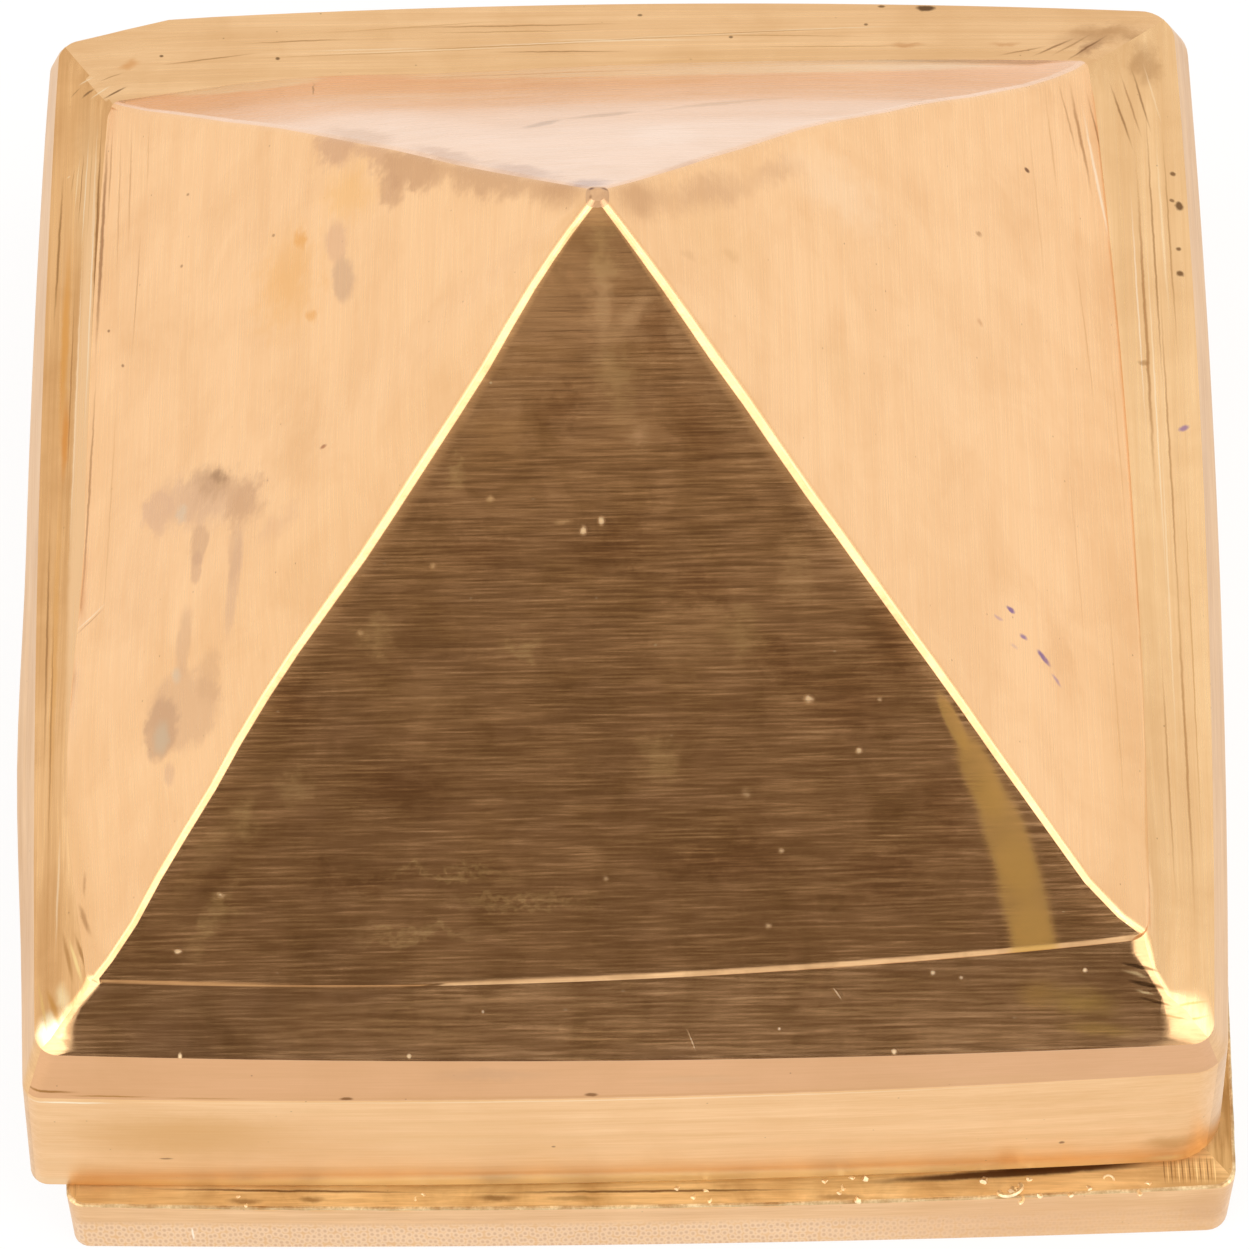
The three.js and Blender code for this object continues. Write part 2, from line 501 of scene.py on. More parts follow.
@dataclass(frozen=True)
class BrassFinish:
    """Brass as a file, a brush or the mould left it.

    Attributes:
        name: the material's name.
        colour: the clean metal, as sRGB hex.
        tarnish: the metal where air and fingers have dulled it, as sRGB hex.
        lay: the way in which the marks run.
        place: the piece's middle in the object, in millimetres.
        pitch: from one fine line to the next, in millimetres.
        length: how long a fine line runs, in millimetres.
        lines: how strongly the fine lines colour the metal.
        bands: how strongly the broad strokes colour it.
        tarnish_share: how much of the tarnish shows in its clouds.
        cloud_size: the size of those clouds, in millimetres.
        roughness: how blurred the metal mirrors, at the clean places.
        roughness_spread: how much that varies from line to line.
        groove: the depth of the lines, in millimetres.
        wave: the depth of the hand's slow waves, in millimetres.
        pits: the colour strength of the small pits or grains of dust.
        pit_colour: their colour, as sRGB hex.
        pit_scale: how many lie along a millimetre.
        teeth: how strongly the rows of a cross-cut file's teeth show on an upright front.
        marks: what lies at set places.
    """

    name: str
    colour: str
    tarnish: str
    lay: Lay
    place: Point = (0.0, 0.0, 0.0)
    # a brush's own lines are 0.02 to 0.05 mm apart, too fine to show, so they are drawn coarser
    pitch: float = 0.09
    length: float = 3.0
    lines: float = 0.3
    bands: float = 0.25
    tarnish_share: float = 0.3
    cloud_size: float = 6.0
    roughness: float = 0.26
    roughness_spread: float = 0.12
    groove: float = 0.0008
    wave: float = 0.004
    pits: float = 0.5
    pit_colour: str = "#6d4526"
    pit_scale: float = 0.9
    teeth: float = 0.0
    marks: tuple[Blot, ...] = ()

    def stretch(self, pitch: float, length: float) -> Point:
        """Gives the noise scale along each axis for strokes of a pitch and a length."""
        fine, long = 1.0 / pitch, 1.0 / length
        return {Lay.ACROSS: (long, fine, fine), Lay.ALONG: (fine, long, fine), Lay.CAST: (fine,) * 3}[self.lay]

    def build(self) -> bpy.types.Material:
        """Makes the material's nodes.

        Returns:
            The material.
        """
        material = bpy.data.materials.new(self.name)
        tree = empty_tree(material)
        place = add_node(tree, "ShaderNodeTexCoord").outputs["Object"]
        at = add_node(
            tree,
            "ShaderNodeMapping",
            {"Vector": place, "Scale": (1 / MM,) * 3, "Location": tuple(-part for part in self.place)},
        ).outputs["Vector"]
        # the fine lines of the last brush, the broader strokes of the file under them, and the dull clouds
        fine_at = add_node(
            tree, "ShaderNodeMapping", {"Vector": at, "Scale": self.stretch(self.pitch, self.length)}
        ).outputs[0]
        fine = add_node(
            tree, "ShaderNodeTexNoise", {"Vector": fine_at, "Scale": 1.0, "Detail": 3.0, "Roughness": 0.62}
        ).outputs["Fac"]
        broad_scale = self.stretch(self.pitch * 7, self.length * 4)
        broad_at = add_node(
            tree, "ShaderNodeMapping", {"Vector": at, "Scale": broad_scale, "Location": (3.1, 7.7, 1.3)}
        ).outputs[0]
        broad = add_node(
            tree, "ShaderNodeTexNoise", {"Vector": broad_at, "Scale": 1.0, "Detail": 3.0, "Roughness": 0.55}
        ).outputs["Fac"]
        cloud = add_node(
            tree,
            "ShaderNodeTexNoise",
            {"Vector": at, "Scale": 1.0 / self.cloud_size, "Detail": 5.0, "Roughness": 0.6, "Distortion": 0.4},
        ).outputs["Fac"]
        colour: Any = linear(self.colour)
        dull, speck = linear(self.tarnish), linear(self.pit_colour)
        # each pattern starts to show at its first number, and shows as much as it may at its second
        for pattern, start, full, most in (
            (cloud, 0.42, 0.75, self.tarnish_share),
            (broad, 0.35, 0.7, self.bands),
            (fine, 0.35, 0.75, self.lines),
        ):
            span = {"From Min": start, "From Max": full, "To Max": most}
            share = add_node(tree, "ShaderNodeMapRange", {"Value": pattern, **span}).outputs[0]
            colour = add_node(
                tree, "ShaderNodeMix", {"Factor": share, "A": colour, "B": dull}, data_type="RGBA"
            ).outputs["Result"]
        if self.pits > 0.0:
            pit = add_node(
                tree, "ShaderNodeTexVoronoi", {"Vector": at, "Scale": self.pit_scale, "Randomness": 1.0}
            ).outputs["Distance"]
            near = {"From Min": 0.045, "From Max": 0.02, "To Max": self.pits}
            share = add_node(tree, "ShaderNodeMapRange", {"Value": pit, **near}).outputs[0]
            colour = add_node(
                tree, "ShaderNodeMix", {"Factor": share, "A": colour, "B": speck}, data_type="RGBA"
            ).outputs["Result"]
        most = self.roughness + self.roughness_spread
        rough = add_node(
            tree,
            "ShaderNodeMapRange",
            {"Value": fine, "From Min": 0.3, "From Max": 0.75, "To Min": self.roughness, "To Max": most},
        ).outputs[0]
        if self.teeth > 0.0:
            colour = self.cut_teeth(tree, at, colour)
        colour, rough = self.lay_marks(tree, at, colour, rough)
        # the depth of the slow waves, the strokes and the lines, one on the other
        wave = add_node(tree, "ShaderNodeTexNoise", {"Vector": at, "Scale": 0.16, "Detail": 2.0}).outputs["Fac"]
        deep = add_node(tree, "ShaderNodeMath", {0: wave, 1: self.wave / self.groove}, operation="MULTIPLY")
        for pattern, depth in ((broad, 2.0), (fine, 1.0)):
            deep = add_node(
                tree, "ShaderNodeMath", {0: pattern, 1: depth, 2: deep.outputs[0]}, operation="MULTIPLY_ADD"
            )
        bump = add_node(
            tree, "ShaderNodeBump", {"Height": deep.outputs[0], "Distance": self.groove * MM, "Strength": 1.0}
        ).outputs[0]
        metal = add_node(
            tree,
            "ShaderNodeBsdfPrincipled",
            {"Base Color": colour, "Metallic": 1.0, "Roughness": rough, "Normal": bump},
        ).outputs[0]
        add_node(tree, "ShaderNodeOutputMaterial", {"Surface": metal})
        return material

    def cut_teeth(
        self, tree: bpy.types.NodeTree, at: bpy.types.NodeSocket, colour: bpy.types.NodeSocket
    ) -> bpy.types.NodeSocket:
        """Adds the rows of small bites that a cross-cut file leaves, each painted with a highlight on its lip and
        shade in its floor.

        Args:
            tree: the node tree.
            at: the place on the piece, in millimetres.
            colour: the colour under the bites.

        Returns:
            The colour with them.
        """
        rows = (1 / TOOTH_PITCH, 0.0, 1 / TOOTH_ROW)
        row_at = add_node(
            tree, "ShaderNodeMapping", {"Vector": at, "Scale": rows, "Rotation": (math.radians(-90), 0.0, 0.0)}
        ).outputs[0]
        even = {"Scale": 1.0, "Randomness": 0.5}
        bites = add_node(
            tree, "ShaderNodeTexVoronoi", {"Vector": row_at, **even}, voronoi_dimensions="2D"
        ).outputs["Distance"]
        # they show on the lower half of the edge, and less towards its right end
        parts = add_node(tree, "ShaderNodeSeparateXYZ", {0: at})
        low, left = (
            add_node(tree, "ShaderNodeMapRange", {"Value": parts.outputs[axis], **span}).outputs[0]
            for axis, span in (
                (2, {"From Min": 3.0, "From Max": 2.3, "To Max": self.teeth}),
                (0, {"From Min": 20.0, "From Max": 6.0, "To Min": 0.25}),
            )
        )
        here = add_node(tree, "ShaderNodeMath", {0: low, 1: left}, operation="MULTIPLY").outputs[0]
        # each bite is painted with a pale highlight on its lip and painted shade in its floor
        for edge, core, shade in ((0.66, 0.44, "#fbdcb8"), (0.38, 0.14, "#c48e62")):
            span = {"From Min": edge, "From Max": core}
            bite = add_node(tree, "ShaderNodeMapRange", {"Value": bites, **span}).outputs[0]
            share = add_node(tree, "ShaderNodeMath", {0: bite, 1: here}, operation="MULTIPLY").outputs[0]
            colour = add_node(
                tree, "ShaderNodeMix", {"Factor": share, "A": colour, "B": linear(shade)}, data_type="RGBA"
            ).outputs["Result"]
        return colour

    def lay_marks(
        self,
        tree: bpy.types.NodeTree,
        at: bpy.types.NodeSocket,
        colour: bpy.types.NodeSocket,
        rough: bpy.types.NodeSocket,
    ) -> tuple[bpy.types.NodeSocket, bpy.types.NodeSocket]:
        """Lays the marks over the metal's colour and roughness.

        Args:
            tree: the node tree.
            at: the place on the piece, in millimetres.
            colour: the colour under the marks.
            rough: the roughness under them.

        Returns:
            The colour and the roughness with them.
        """
        if not self.marks:
            return colour, rough
        wander = add_node(
            tree, "ShaderNodeTexNoise", {"Vector": at, "Scale": 1.1, "Detail": 4.0, "Roughness": 0.65}
        ).outputs["Color"]
        centred = add_node(
            tree, "ShaderNodeVectorMath", {0: wander, 1: (0.5, 0.5, 0.5)}, operation="SUBTRACT"
        ).outputs[0]
        for mark in self.marks:
            far = (mark.ragged * 2,) * 3
            ragged = add_node(
                tree, "ShaderNodeVectorMath", {0: centred, 1: far, 2: at}, operation="MULTIPLY_ADD"
            ).outputs[0]
            place = {"Location": mark.in_space(mark.at, 0.0), "Rotation": (0.0, 0.0, math.radians(mark.turn))}
            scale = mark.in_space(mark.size, THROUGH)
            local = add_node(
                tree, "ShaderNodeMapping", {"Vector": ragged, "Scale": scale, **place}, vector_type="TEXTURE"
            ).outputs[0]
            away = add_node(tree, "ShaderNodeVectorMath", {0: local}, operation="LENGTH").outputs["Value"]
            share = add_node(
                tree,
                "ShaderNodeMapRange",
                {"Value": away, "From Min": 1.0, "From Max": 1.0 - mark.soft, "To Max": mark.strength},
                interpolation_type="SMOOTHSTEP",
            ).outputs[0]
            stain = linear(mark.colour)
            colour = add_node(
                tree, "ShaderNodeMix", {"Factor": share, "A": colour, "B": stain}, data_type="RGBA"
            ).outputs["Result"]
            if mark.rough > 0.0:
                rough = add_node(
                    tree, "ShaderNodeMix", {"Factor": share, "A": rough, "B": mark.rough}, data_type="FLOAT"
                ).outputs["Result"]
        return colour, rough


def paint(
    piece: bpy.types.Object,
    lines: Sequence[Outline],
    finishes: dict[str, BrassFinish],
    region: Callable[[Any, str], str],
) -> None:
    """Gives each region of a lofted piece its finish.

    Args:
        piece: the piece.
        lines: its lines, in the order of the loft.
        finishes: the finish of each region, by the region's name.
        region: names a face's region from the face and from the last line that it touches.
    """
    for finish in finishes.values():
        piece.data.materials.append(finish.build())
    open_mesh(piece)
    mesh = bmesh.from_edit_mesh(piece.data)
    mesh.faces.index_update()
    groups = mesh.verts.layers.deform.active
    order = [line.name for line in lines]
    rank = {group.index: order.index(group.name) for group in piece.vertex_groups}
    last = {
        face.index: order[max(rank[key] for vertex in face.verts for key in vertex[groups].keys())]
        for face in mesh.faces
    }
    for index, name in enumerate(finishes):
        pick(piece, Element.FACE, lambda face: region(face, last[face.index]) == name)
        piece.active_material_index = index
        bpy.ops.object.material_slot_assign()
    close_mesh()


# Where the hand, the air and the stone left their marks on the cover, and where highlights, reflections and
# shadows are painted on it, in millimetres of the cover

LEFT_FACE_MARKS = (
    # a water stain that ran down the face and dried in drips
    Blot((-16.9, -3.1), (3.5, 1.5), "#e0b48d", 0.5, -39.0, 0.7, 1.0),
    Blot((-17.1, -3.0), (2.7, 1.1), "#d6a983", 0.5, -39.0, 1.0, 1.3),
    streak((-15.0, -5.2), (-15.6, -10.6), 0.72, "#dcb088", 0.6, 0.5, 0.15),
    streak((-17.3, -7.4), (-17.6, -11.0), 0.9, "#d9ac83", 0.55, 0.5, 0.2),
    Blot((-18.8, -2.4), (1.45, 0.75), "#dcae88", 0.6, -75.0, 0.4, 0.7),
    Blot((-16.3, -2.6), (1.9, 0.9), "#bd9068", 0.75, -41.0, 1.0, 1.0),
    Blot((-16.1, -2.5), (0.6, 0.35), "#a47a54", 0.65, -41.0, 0.9, 0.5),
    Blot((-15.0, -4.4), (1.8, 1.1), "#cf9f74", 0.75, -70.0, 0.8, 1.0),
    Blot((-17.7, -3.2), (0.7, 0.35), "#d9c0a2", 0.6, -76.0, 0.8, 0.4),
    Blot((-16.9, -5.2), (1.2, 0.5), "#cfa17a", 0.6, 90.0, 0.4, 0.3),
    Blot((-17.0, -6.2), (0.9, 0.32), "#d3a57e", 0.6, 90.0, 0.35, 0.2),
    Blot((-15.3, -6.6), (1.7, 0.35), "#d9ab82", 0.55, 88.0, 0.5, 0.25),
    Blot((-17.4, -12.1), (2.3, 1.6), "#dcae83", 0.65, -57.0, 0.35, 0.7),
    Blot((-18.4, -12.4), (1.5, 0.85), "#c79c78", 0.65, -87.0, 0.35, 0.4),
    Blot((-18.4, -12.8), (0.95, 0.5), "#cdb596", 0.7, -85.0, 0.8, 0.3),
    Blot((-17.8, -10.5), (0.5, 0.25), "#dcc3a4", 0.6, -75.0, 0.8, 0.2),
    Blot((-16.3, -11.4), (1.5, 0.6), "#d9aa7d", 0.5, 90.0, 0.5, 0.5),
    Blot((-18.0, -14.5), (0.7, 0.28), "#dbae88", 0.5, -82.0, 0.6, 0.2),
    # older stains along the back ridge, tan where fingers held it, and a grey one under them
    Blot((-9.6, 8.0), (2.2, 0.55), "#d3a27a", 0.65, -48.0, 0.8, 0.6),
    Blot((-11.3, 9.6), (1.6, 1.0), "#d3a27a", 0.75, -51.0, 0.6, 0.9),
    Blot((-8.0, 6.3), (2.4, 1.0), "#cf9e72", 0.8, -50.0, 0.55, 0.9),
    Blot((-8.9, 5.9), (1.3, 0.6), "#cf9e73", 0.7, -76.0, 0.5, 0.5),
    Blot((-4.8, 3.6), (4.2, 0.95), "#d0a074", 0.75, -43.0, 0.7, 0.8),
    Blot((-2.0, 1.1), (2.0, 1.1), "#c9986c", 0.75, -45.0, 0.9, 0.5),
    Blot((-11.2, 5.0), (1.4, 0.55), "#e0b088", 0.6, -80.0, 0.5, 0.3),
    Blot((-10.85, 3.1), (1.4, 0.6), "#d4aa84", 0.7, -80.0, 0.5, 0.3),
    Blot((-13.2, 4.6), (3.6, 1.9), "#f0b671", 0.7, -78.0, 0.9, 1.2),
    Blot((-10.6, 6.9), (2.2, 1.3), "#f5bf7c", 0.65, -57.0, 0.8, 1.0),
    Blot((-12.7, 6.1), (0.8, 0.35), "#eaa653", 0.65, -77.0, 0.9, 0.5),
    Blot((-12.2, 2.3), (0.45, 0.25), "#eaa85a", 0.6, -63.0, 0.8, 0.3),
    Blot((-12.9, -3.5), (1.6, 2.2), "#e6b27a", 0.35, 0.0, 0.9, 1.2),
    Blot((-13.4, -6.5), (1.4, 0.8), "#e2b287", 0.35, 20.0, 0.8, 0.9),
    Blot((-11.6, -4.1), (0.2, 0.13), "#a5603a", 0.75, 0.0, 0.7, 0.1),
    # pits
    Blot((-17.8, 11.9), (0.12, 0.08), "#8a5a30", 0.6, -56.0, 0.7, 0.05),
    Blot((-13.9, 7.2), (0.12, 0.08), "#8a5a30", 0.6, -56.0, 0.7, 0.05),
    Blot((-18.0, 8.6), (0.12, 0.08), "#8a5a30", 0.6, -55.0, 0.7, 0.05),
    Blot((-21.3, 7.8), (0.12, 0.08), "#7d4f29", 0.7, -55.0, 0.7, 0.05),
    Blot((-20.6, 5.7), (0.14, 0.08), "#7d4f29", 0.7, -55.0, 0.7, 0.05),
    # long strokes of the file beside the crease
    streak((-21.4, 18.2), (-21.5, 13.0), 0.12, "#b98653", 0.6),
    streak((-21.0, 18.2), (-21.0, 9.1), 0.1, "#c4915c", 0.5),
    streak((-20.5, 17.8), (-20.5, 10.7), 0.12, "#c08c58", 0.5),
    streak((-19.9, 12.4), (-20.2, 5.3), 0.12, "#be8a56", 0.5),
    streak((-19.7, 17.3), (-19.7, 13.0), 0.1, "#cf9d68", 0.4),
    streak((-20.8, 6.0), (-21.2, -8.0), 0.1, "#d3a26c", 0.45),
    streak((-21.6, 18.8), (-21.9, 6.0), 0.24, "#94602f", 0.75, 0.7, 0.08),
    streak((-21.8, 7.0), (-22.2, -6.0), 0.16, "#9c6a3a", 0.6, 0.7, 0.08),
    streak((-22.6, -5.8), (-20.9, -5.1), 0.1, "#ffe6c6", 0.7, 0.7, 0.04),
    streak((-22.6, -6.0), (-20.9, -5.25), 0.07, "#a8754a", 0.6, 0.7, 0.04),
    streak((-22.0, -17.8), (-21.3, -19.7), 0.3, "#a9794c", 0.6, 0.8, 0.1),
    streak((-21.7, -16.5), (-21.7, -18.0), 0.2, "#b98a60", 0.5, 0.8, 0.1),
)

RIGHT_FACE_MARKS = (
    # grooves that fan out from the back corner, where the file was turned
    streak((19.1, 19.3), (20.1, 13.4), 0.26, "#b07c4a", 0.75, 0.8, 0.1),
    streak((18.6, 18.9), (19.5, 15.0), 0.16, "#bd8c5a", 0.6, 0.8, 0.1),
    streak((19.6, 18.7), (21.0, 10.4), 0.2, "#ffe9cb", 0.8, 0.8, 0.06),
    streak((19.9, 19.2), (20.9, 14.6), 0.16, "#9e6a3a", 0.7, 0.8, 0.08),
    streak((20.3, 17.6), (21.2, 9.5), 0.13, "#b98653", 0.65, 0.8, 0.05),
    streak((20.7, 16.0), (21.4, 8.0), 0.1, "#a97645", 0.6, 0.8, 0.05),
    streak((18.0, 18.2), (18.5, 12.0), 0.12, "#d3a26c", 0.5, 0.8, 0.05),
    streak((17.2, 16.0), (17.8, 7.0), 0.12, "#dcac76", 0.4, 0.8, 0.05),
    streak((19.0, 12.0), (19.9, 2.0), 0.1, "#d2a069", 0.45, 0.8, 0.05),
    streak((20.5, 8.0), (21.0, -3.0), 0.1, "#d8a66f", 0.4, 0.8, 0.05),
    streak((18.4, 2.0), (19.0, -10.0), 0.1, "#dfae7a", 0.4, 0.8, 0.05),
    streak((20.0, -4.0), (20.4, -16.0), 0.12, "#d9a872", 0.4, 0.8, 0.05),
    # the darker strip beside the crease
    streak((21.0, 12.5), (21.5, 0.5), 0.55, "#cf9350", 0.65, 0.6, 0.08),
    streak((21.4, 2.0), (21.5, -12.0), 0.42, "#d59a58", 0.6, 0.6, 0.08),
    streak((21.4, -11.0), (21.2, -18.6), 0.3, "#d8a060", 0.5, 0.6, 0.08),
    Blot((17.1, 13.1), (0.15, 0.15), "#6f4422", 0.9, 0.0, 0.6, 0.08),
    Blot((21.2, 8.4), (0.4, 0.2), "#b08050", 0.5, 0.0, 0.7, 0.3),
    Blot((14.9, 8.5), (0.2, 0.16), "#a9794c", 0.6, 0.0, 0.8, 0.2),
    Blot((14.8, 4.3), (0.2, 0.2), "#cf9867", 0.6, 0.0, 0.8, 0.2),
    # tan stains along the back ridge near the tip
    Blot((3.6, 2.7), (3.6, 0.9), "#d6a679", 0.65, 44.0, 0.9, 0.7),
    Blot((1.0, 0.7), (1.8, 1.1), "#cc9b6e", 0.7, 51.0, 0.9, 0.5),
    Blot((6.4, 5.6), (2.2, 0.6), "#dbab7e", 0.5, 48.0, 0.9, 0.6),
    Blot((4.6, 0.6), (0.5, 0.4), "#dbab78", 0.5, 0.0, 0.8, 0.4),
    Blot((2.9, -0.6), (0.4, 0.3), "#e3b482", 0.5, 0.0, 0.8, 0.4),
    # old ink, a few purple specks
    Blot((15.7, -8.2), (0.24, 0.17), "#76528f", 0.85, 0.0, 0.6, 0.15),
    Blot((16.25, -9.15), (0.24, 0.16), "#7c5a94", 0.75, 0.0, 0.7, 0.15),
    Blot((17.1, -9.6), (0.46, 0.17), "#6a4a90", 0.85, -40.0, 0.6, 0.12),
    Blot((17.6, -10.3), (0.36, 0.12), "#9472a0", 0.65, -40.0, 0.8, 0.12),
    Blot((15.2, -8.9), (0.22, 0.13), "#ad8aa2", 0.5, 0.0, 0.8, 0.2),
    Blot((15.8, -9.8), (0.22, 0.13), "#c4a0a0", 0.4, 0.0, 0.8, 0.2),
    # soft clouds, where it was rubbed with a cloth
    Blot((4.2, 1.0), (2.6, 2.2), "#f0bf86", 0.35, 0.0, 0.9, 1.2),
    Blot((9.0, 6.5), (3.0, 2.2), "#ffdab0", 0.5, 0.0, 0.9, 1.2),
    Blot((8.5, -1.6), (1.6, 2.4), "#efc08a", 0.3, 0.0, 0.9, 1.2),
    Blot((17.8, -9.0), (0.9, 3.2), "#e5ae77", 0.35, 0.0, 0.9, 0.8),
    Blot((13.0, 0.8), (2.4, 4.0), "#fbd0a0", 0.3, 0.0, 0.9, 1.2),
)

BACK_FACE_MARKS = (
    # the tan strip under the crease, and the darker smear that a dirty cloth left
    streak((-19.5, 19.5), (-12.0, 20.2), 2.4, "#f6e6cb", 0.9, 0.35, 0.3),
    streak((-12.0, 20.4), (18.5, 20.2), 2.8, "#f6e6cb", 0.9, 0.35, 0.3),
    streak((-17.0, 18.9), (15.0, 18.7), 1.0, "#f9e0c4", 0.5, 0.9, 0.4),
    Blot((-8.0, 16.4), (8.0, 1.6), "#fff0de", 0.35, 0.0, 1.0, 0.8),
    streak((-3.8, 9.2), (-2.0, 11.0), 0.9, "#c39b79", 0.8, 0.7, 0.3),
    streak((-2.4, 10.7), (1.4, 11.9), 0.9, "#cba27c", 0.75, 0.7, 0.3),
    streak((0.8, 11.6), (7.8, 14.4), 0.9, "#d8b18c", 0.75, 0.8, 0.4),
    Blot((-10.3, 9.9), (2.4, 1.0), "#ddb18c", 0.75, -43.0, 0.6, 0.7),
    Blot((-6.6, 6.3), (2.8, 0.7), "#d6aa88", 0.75, -45.0, 0.8, 0.6),
    Blot((-3.4, 3.3), (2.8, 0.8), "#cfa384", 0.75, -45.0, 0.8, 0.6),
    Blot((-1.0, 1.0), (1.2, 0.9), "#b58d7c", 0.7, 0.0, 0.8, 0.5),
    Blot((3.0, 3.4), (2.3, 0.7), "#dcb396", 0.6, 45.0, 0.8, 0.5),
    Blot((2.0, 7.5), (2.2, 2.2), "#fbdcc4", 0.5, 0.0, 0.9, 0.8),
    streak((-12.9, 19.8), (-12.7, 17.0), 0.1, "#9a6e48", 0.85, 0.7, 0.12),
    # thin painted highlights along the crease
    streak((-19.0, 20.0), (-10.0, 20.8), 0.4, "#ffe9cf", 0.9, 0.7, 0.05),
    streak((-12.0, 20.75), (12.0, 21.0), 0.3, "#fff0dc", 0.85, 0.7, 0.04),
    streak((6.0, 20.9), (18.0, 20.7), 0.25, "#ffe6c4", 0.75, 0.7, 0.04),
    # darker lines under the crease
    streak((-12.0, 19.9), (6.0, 20.1), 0.2, "#cf9d6a", 0.5, 0.8, 0.1),
    streak((-2.0, 18.6), (12.0, 19.0), 0.2, "#d3a373", 0.4, 0.8, 0.15),
)

# the file's strokes where two parts of the shoulder meet, which both parts show
BACK_LEFT_STROKES = (
    streak((-22.9, 19.7), (-22.25, 20.2), 0.16, "#7a5634", 0.8, 0.7, 0.08),
    streak((-22.0, 19.45), (-20.8, 20.15), 0.14, "#745030", 0.8, 0.7, 0.06),
    streak((-22.55, 19.55), (-21.5, 20.3), 0.1, "#ffe9c6", 0.7, 0.7, 0.05),
    streak((-23.1, 20.4), (-22.3, 20.85), 0.1, "#ffe9c6", 0.6, 0.7, 0.05),
    streak((-23.4, 19.9), (-22.9, 20.35), 0.08, "#9a7248", 0.6, 0.7, 0.05),
    streak((-22.2, 20.5), (-21.0, 20.95), 0.08, "#a87e52", 0.6, 0.7, 0.05),
)
FRONT_RIGHT_STROKES = (
    streak((19.9, -20.95), (21.7, -21.25), 0.2, "#6b4a28", 0.8, 0.6, 0.08),
    streak((20.2, -21.55), (22.0, -21.9), 0.24, "#6b4a28", 0.85, 0.6, 0.08),
    streak((20.6, -22.15), (22.2, -22.5), 0.16, "#7c5730", 0.75, 0.6, 0.08),
    streak((21.3, -22.75), (22.9, -22.95), 0.12, "#a87c48", 0.6, 0.6, 0.08),
)

BACK_SHOULDER_MARKS = (
    *BACK_LEFT_STROKES,
    *(
        streak((-17.0 + n * 3.1, 21.5 + n * 0.17), (-4.0 + n * 2.4, 21.9 + n * 0.16), 0.07, shade, 0.55, 0.7, 0.04)
        for n, shade in enumerate(
            ("#b98a54", "#ffeccb", "#a87840", "#fff0d6", "#b5854c", "#ffe8c4", "#ad7c44", "#ffeccb")
        )
    ),
    streak((-16.4, 22.4), (-11.0, 22.6), 0.12, "#a87a4a", 0.65, 0.8, 0.06),
    streak((-10.4, 23.2), (1.4, 23.3), 0.12, "#a27343", 0.65, 0.8, 0.06),
    streak((-9.0, 22.9), (0.0, 22.9), 0.1, "#b98b57", 0.6, 0.8, 0.06),
    streak((-6.0, 21.7), (1.2, 21.6), 0.12, "#9c6d3f", 0.7, 0.8, 0.06),
    streak((-20.0, 21.2), (-15.0, 21.9), 0.12, "#a47646", 0.65, 0.8, 0.06),
    streak((-13.5, 22.9), (-4.0, 23.6), 0.1, "#c69963", 0.5, 0.8, 0.06),
    streak((2.0, 22.6), (12.0, 22.3), 0.1, "#b98c59", 0.55, 0.8, 0.06),
    streak((4.0, 21.8), (15.0, 21.7), 0.1, "#c2935e", 0.55, 0.8, 0.06),
    streak((-4.0, 22.4), (5.0, 22.2), 0.14, "#ffe8c6", 0.6, 0.8, 0.06),
    streak((-14.0, 21.9), (-7.0, 22.0), 0.12, "#ffe8c6", 0.5, 0.8, 0.06),
    Blot((-19.5, 21.8), (0.12, 0.1), "#5f3f22", 0.8, 0.0, 0.6, 0.05),
    Blot((-14.5, 21.5), (0.13, 0.12), "#5f3f22", 0.8, 0.0, 0.6, 0.05),
    Blot((1.0, 23.8), (0.14, 0.1), "#5f3f22", 0.7, 0.0, 0.6, 0.05),
    Blot((4.9, 22.4), (0.13, 0.1), "#5f3f22", 0.7, 0.0, 0.6, 0.05),
    Blot((10.7, 23.1), (0.12, 0.1), "#5f3f22", 0.7, 0.0, 0.6, 0.05),
    Blot((13.3, 24.1), (0.5, 0.25), "#5d3f24", 0.9, 0.0, 0.5, 0.2),
    Blot((11.4, 24.2), (0.2, 0.1), "#6d4c2c", 0.8, 0.0, 0.6, 0.1),
    Blot((-20.9, 21.4), (0.6, 0.3), "#d8924a", 0.5, 20.0, 0.8, 0.3),
    Blot((12.4, 21.8), (1.1, 0.2), "#c98a52", 0.45, 0.0, 0.8, 0.3),
    Blot((16.6, 21.8), (0.9, 0.2), "#c98a52", 0.4, 0.0, 0.8, 0.3),
    # browner corners
    Blot((20.8, 22.4), (2.6, 0.9), "#b98a5c", 0.6, 10.0, 0.9, 0.8),
    Blot((20.2, 21.5), (1.2, 0.35), "#98694a", 0.5, 40.0, 0.9, 0.5),
    streak((17.6, 20.9), (19.8, 22.3), 0.16, "#8a5c34", 0.7, 0.8, 0.08),
    streak((18.4, 20.9), (20.6, 22.6), 0.14, "#a87a4c", 0.6, 0.8, 0.08),
    streak((19.0, 20.6), (21.2, 22.5), 0.14, "#7f5431", 0.7, 0.8, 0.08),
    streak((16.0, 21.0), (18.6, 21.7), 0.14, "#9c6c3e", 0.6, 0.8, 0.08),
    Blot((22.6, 22.4), (1.2, 0.5), "#a87b50", 0.5, 10.0, 0.8, 0.6),
)

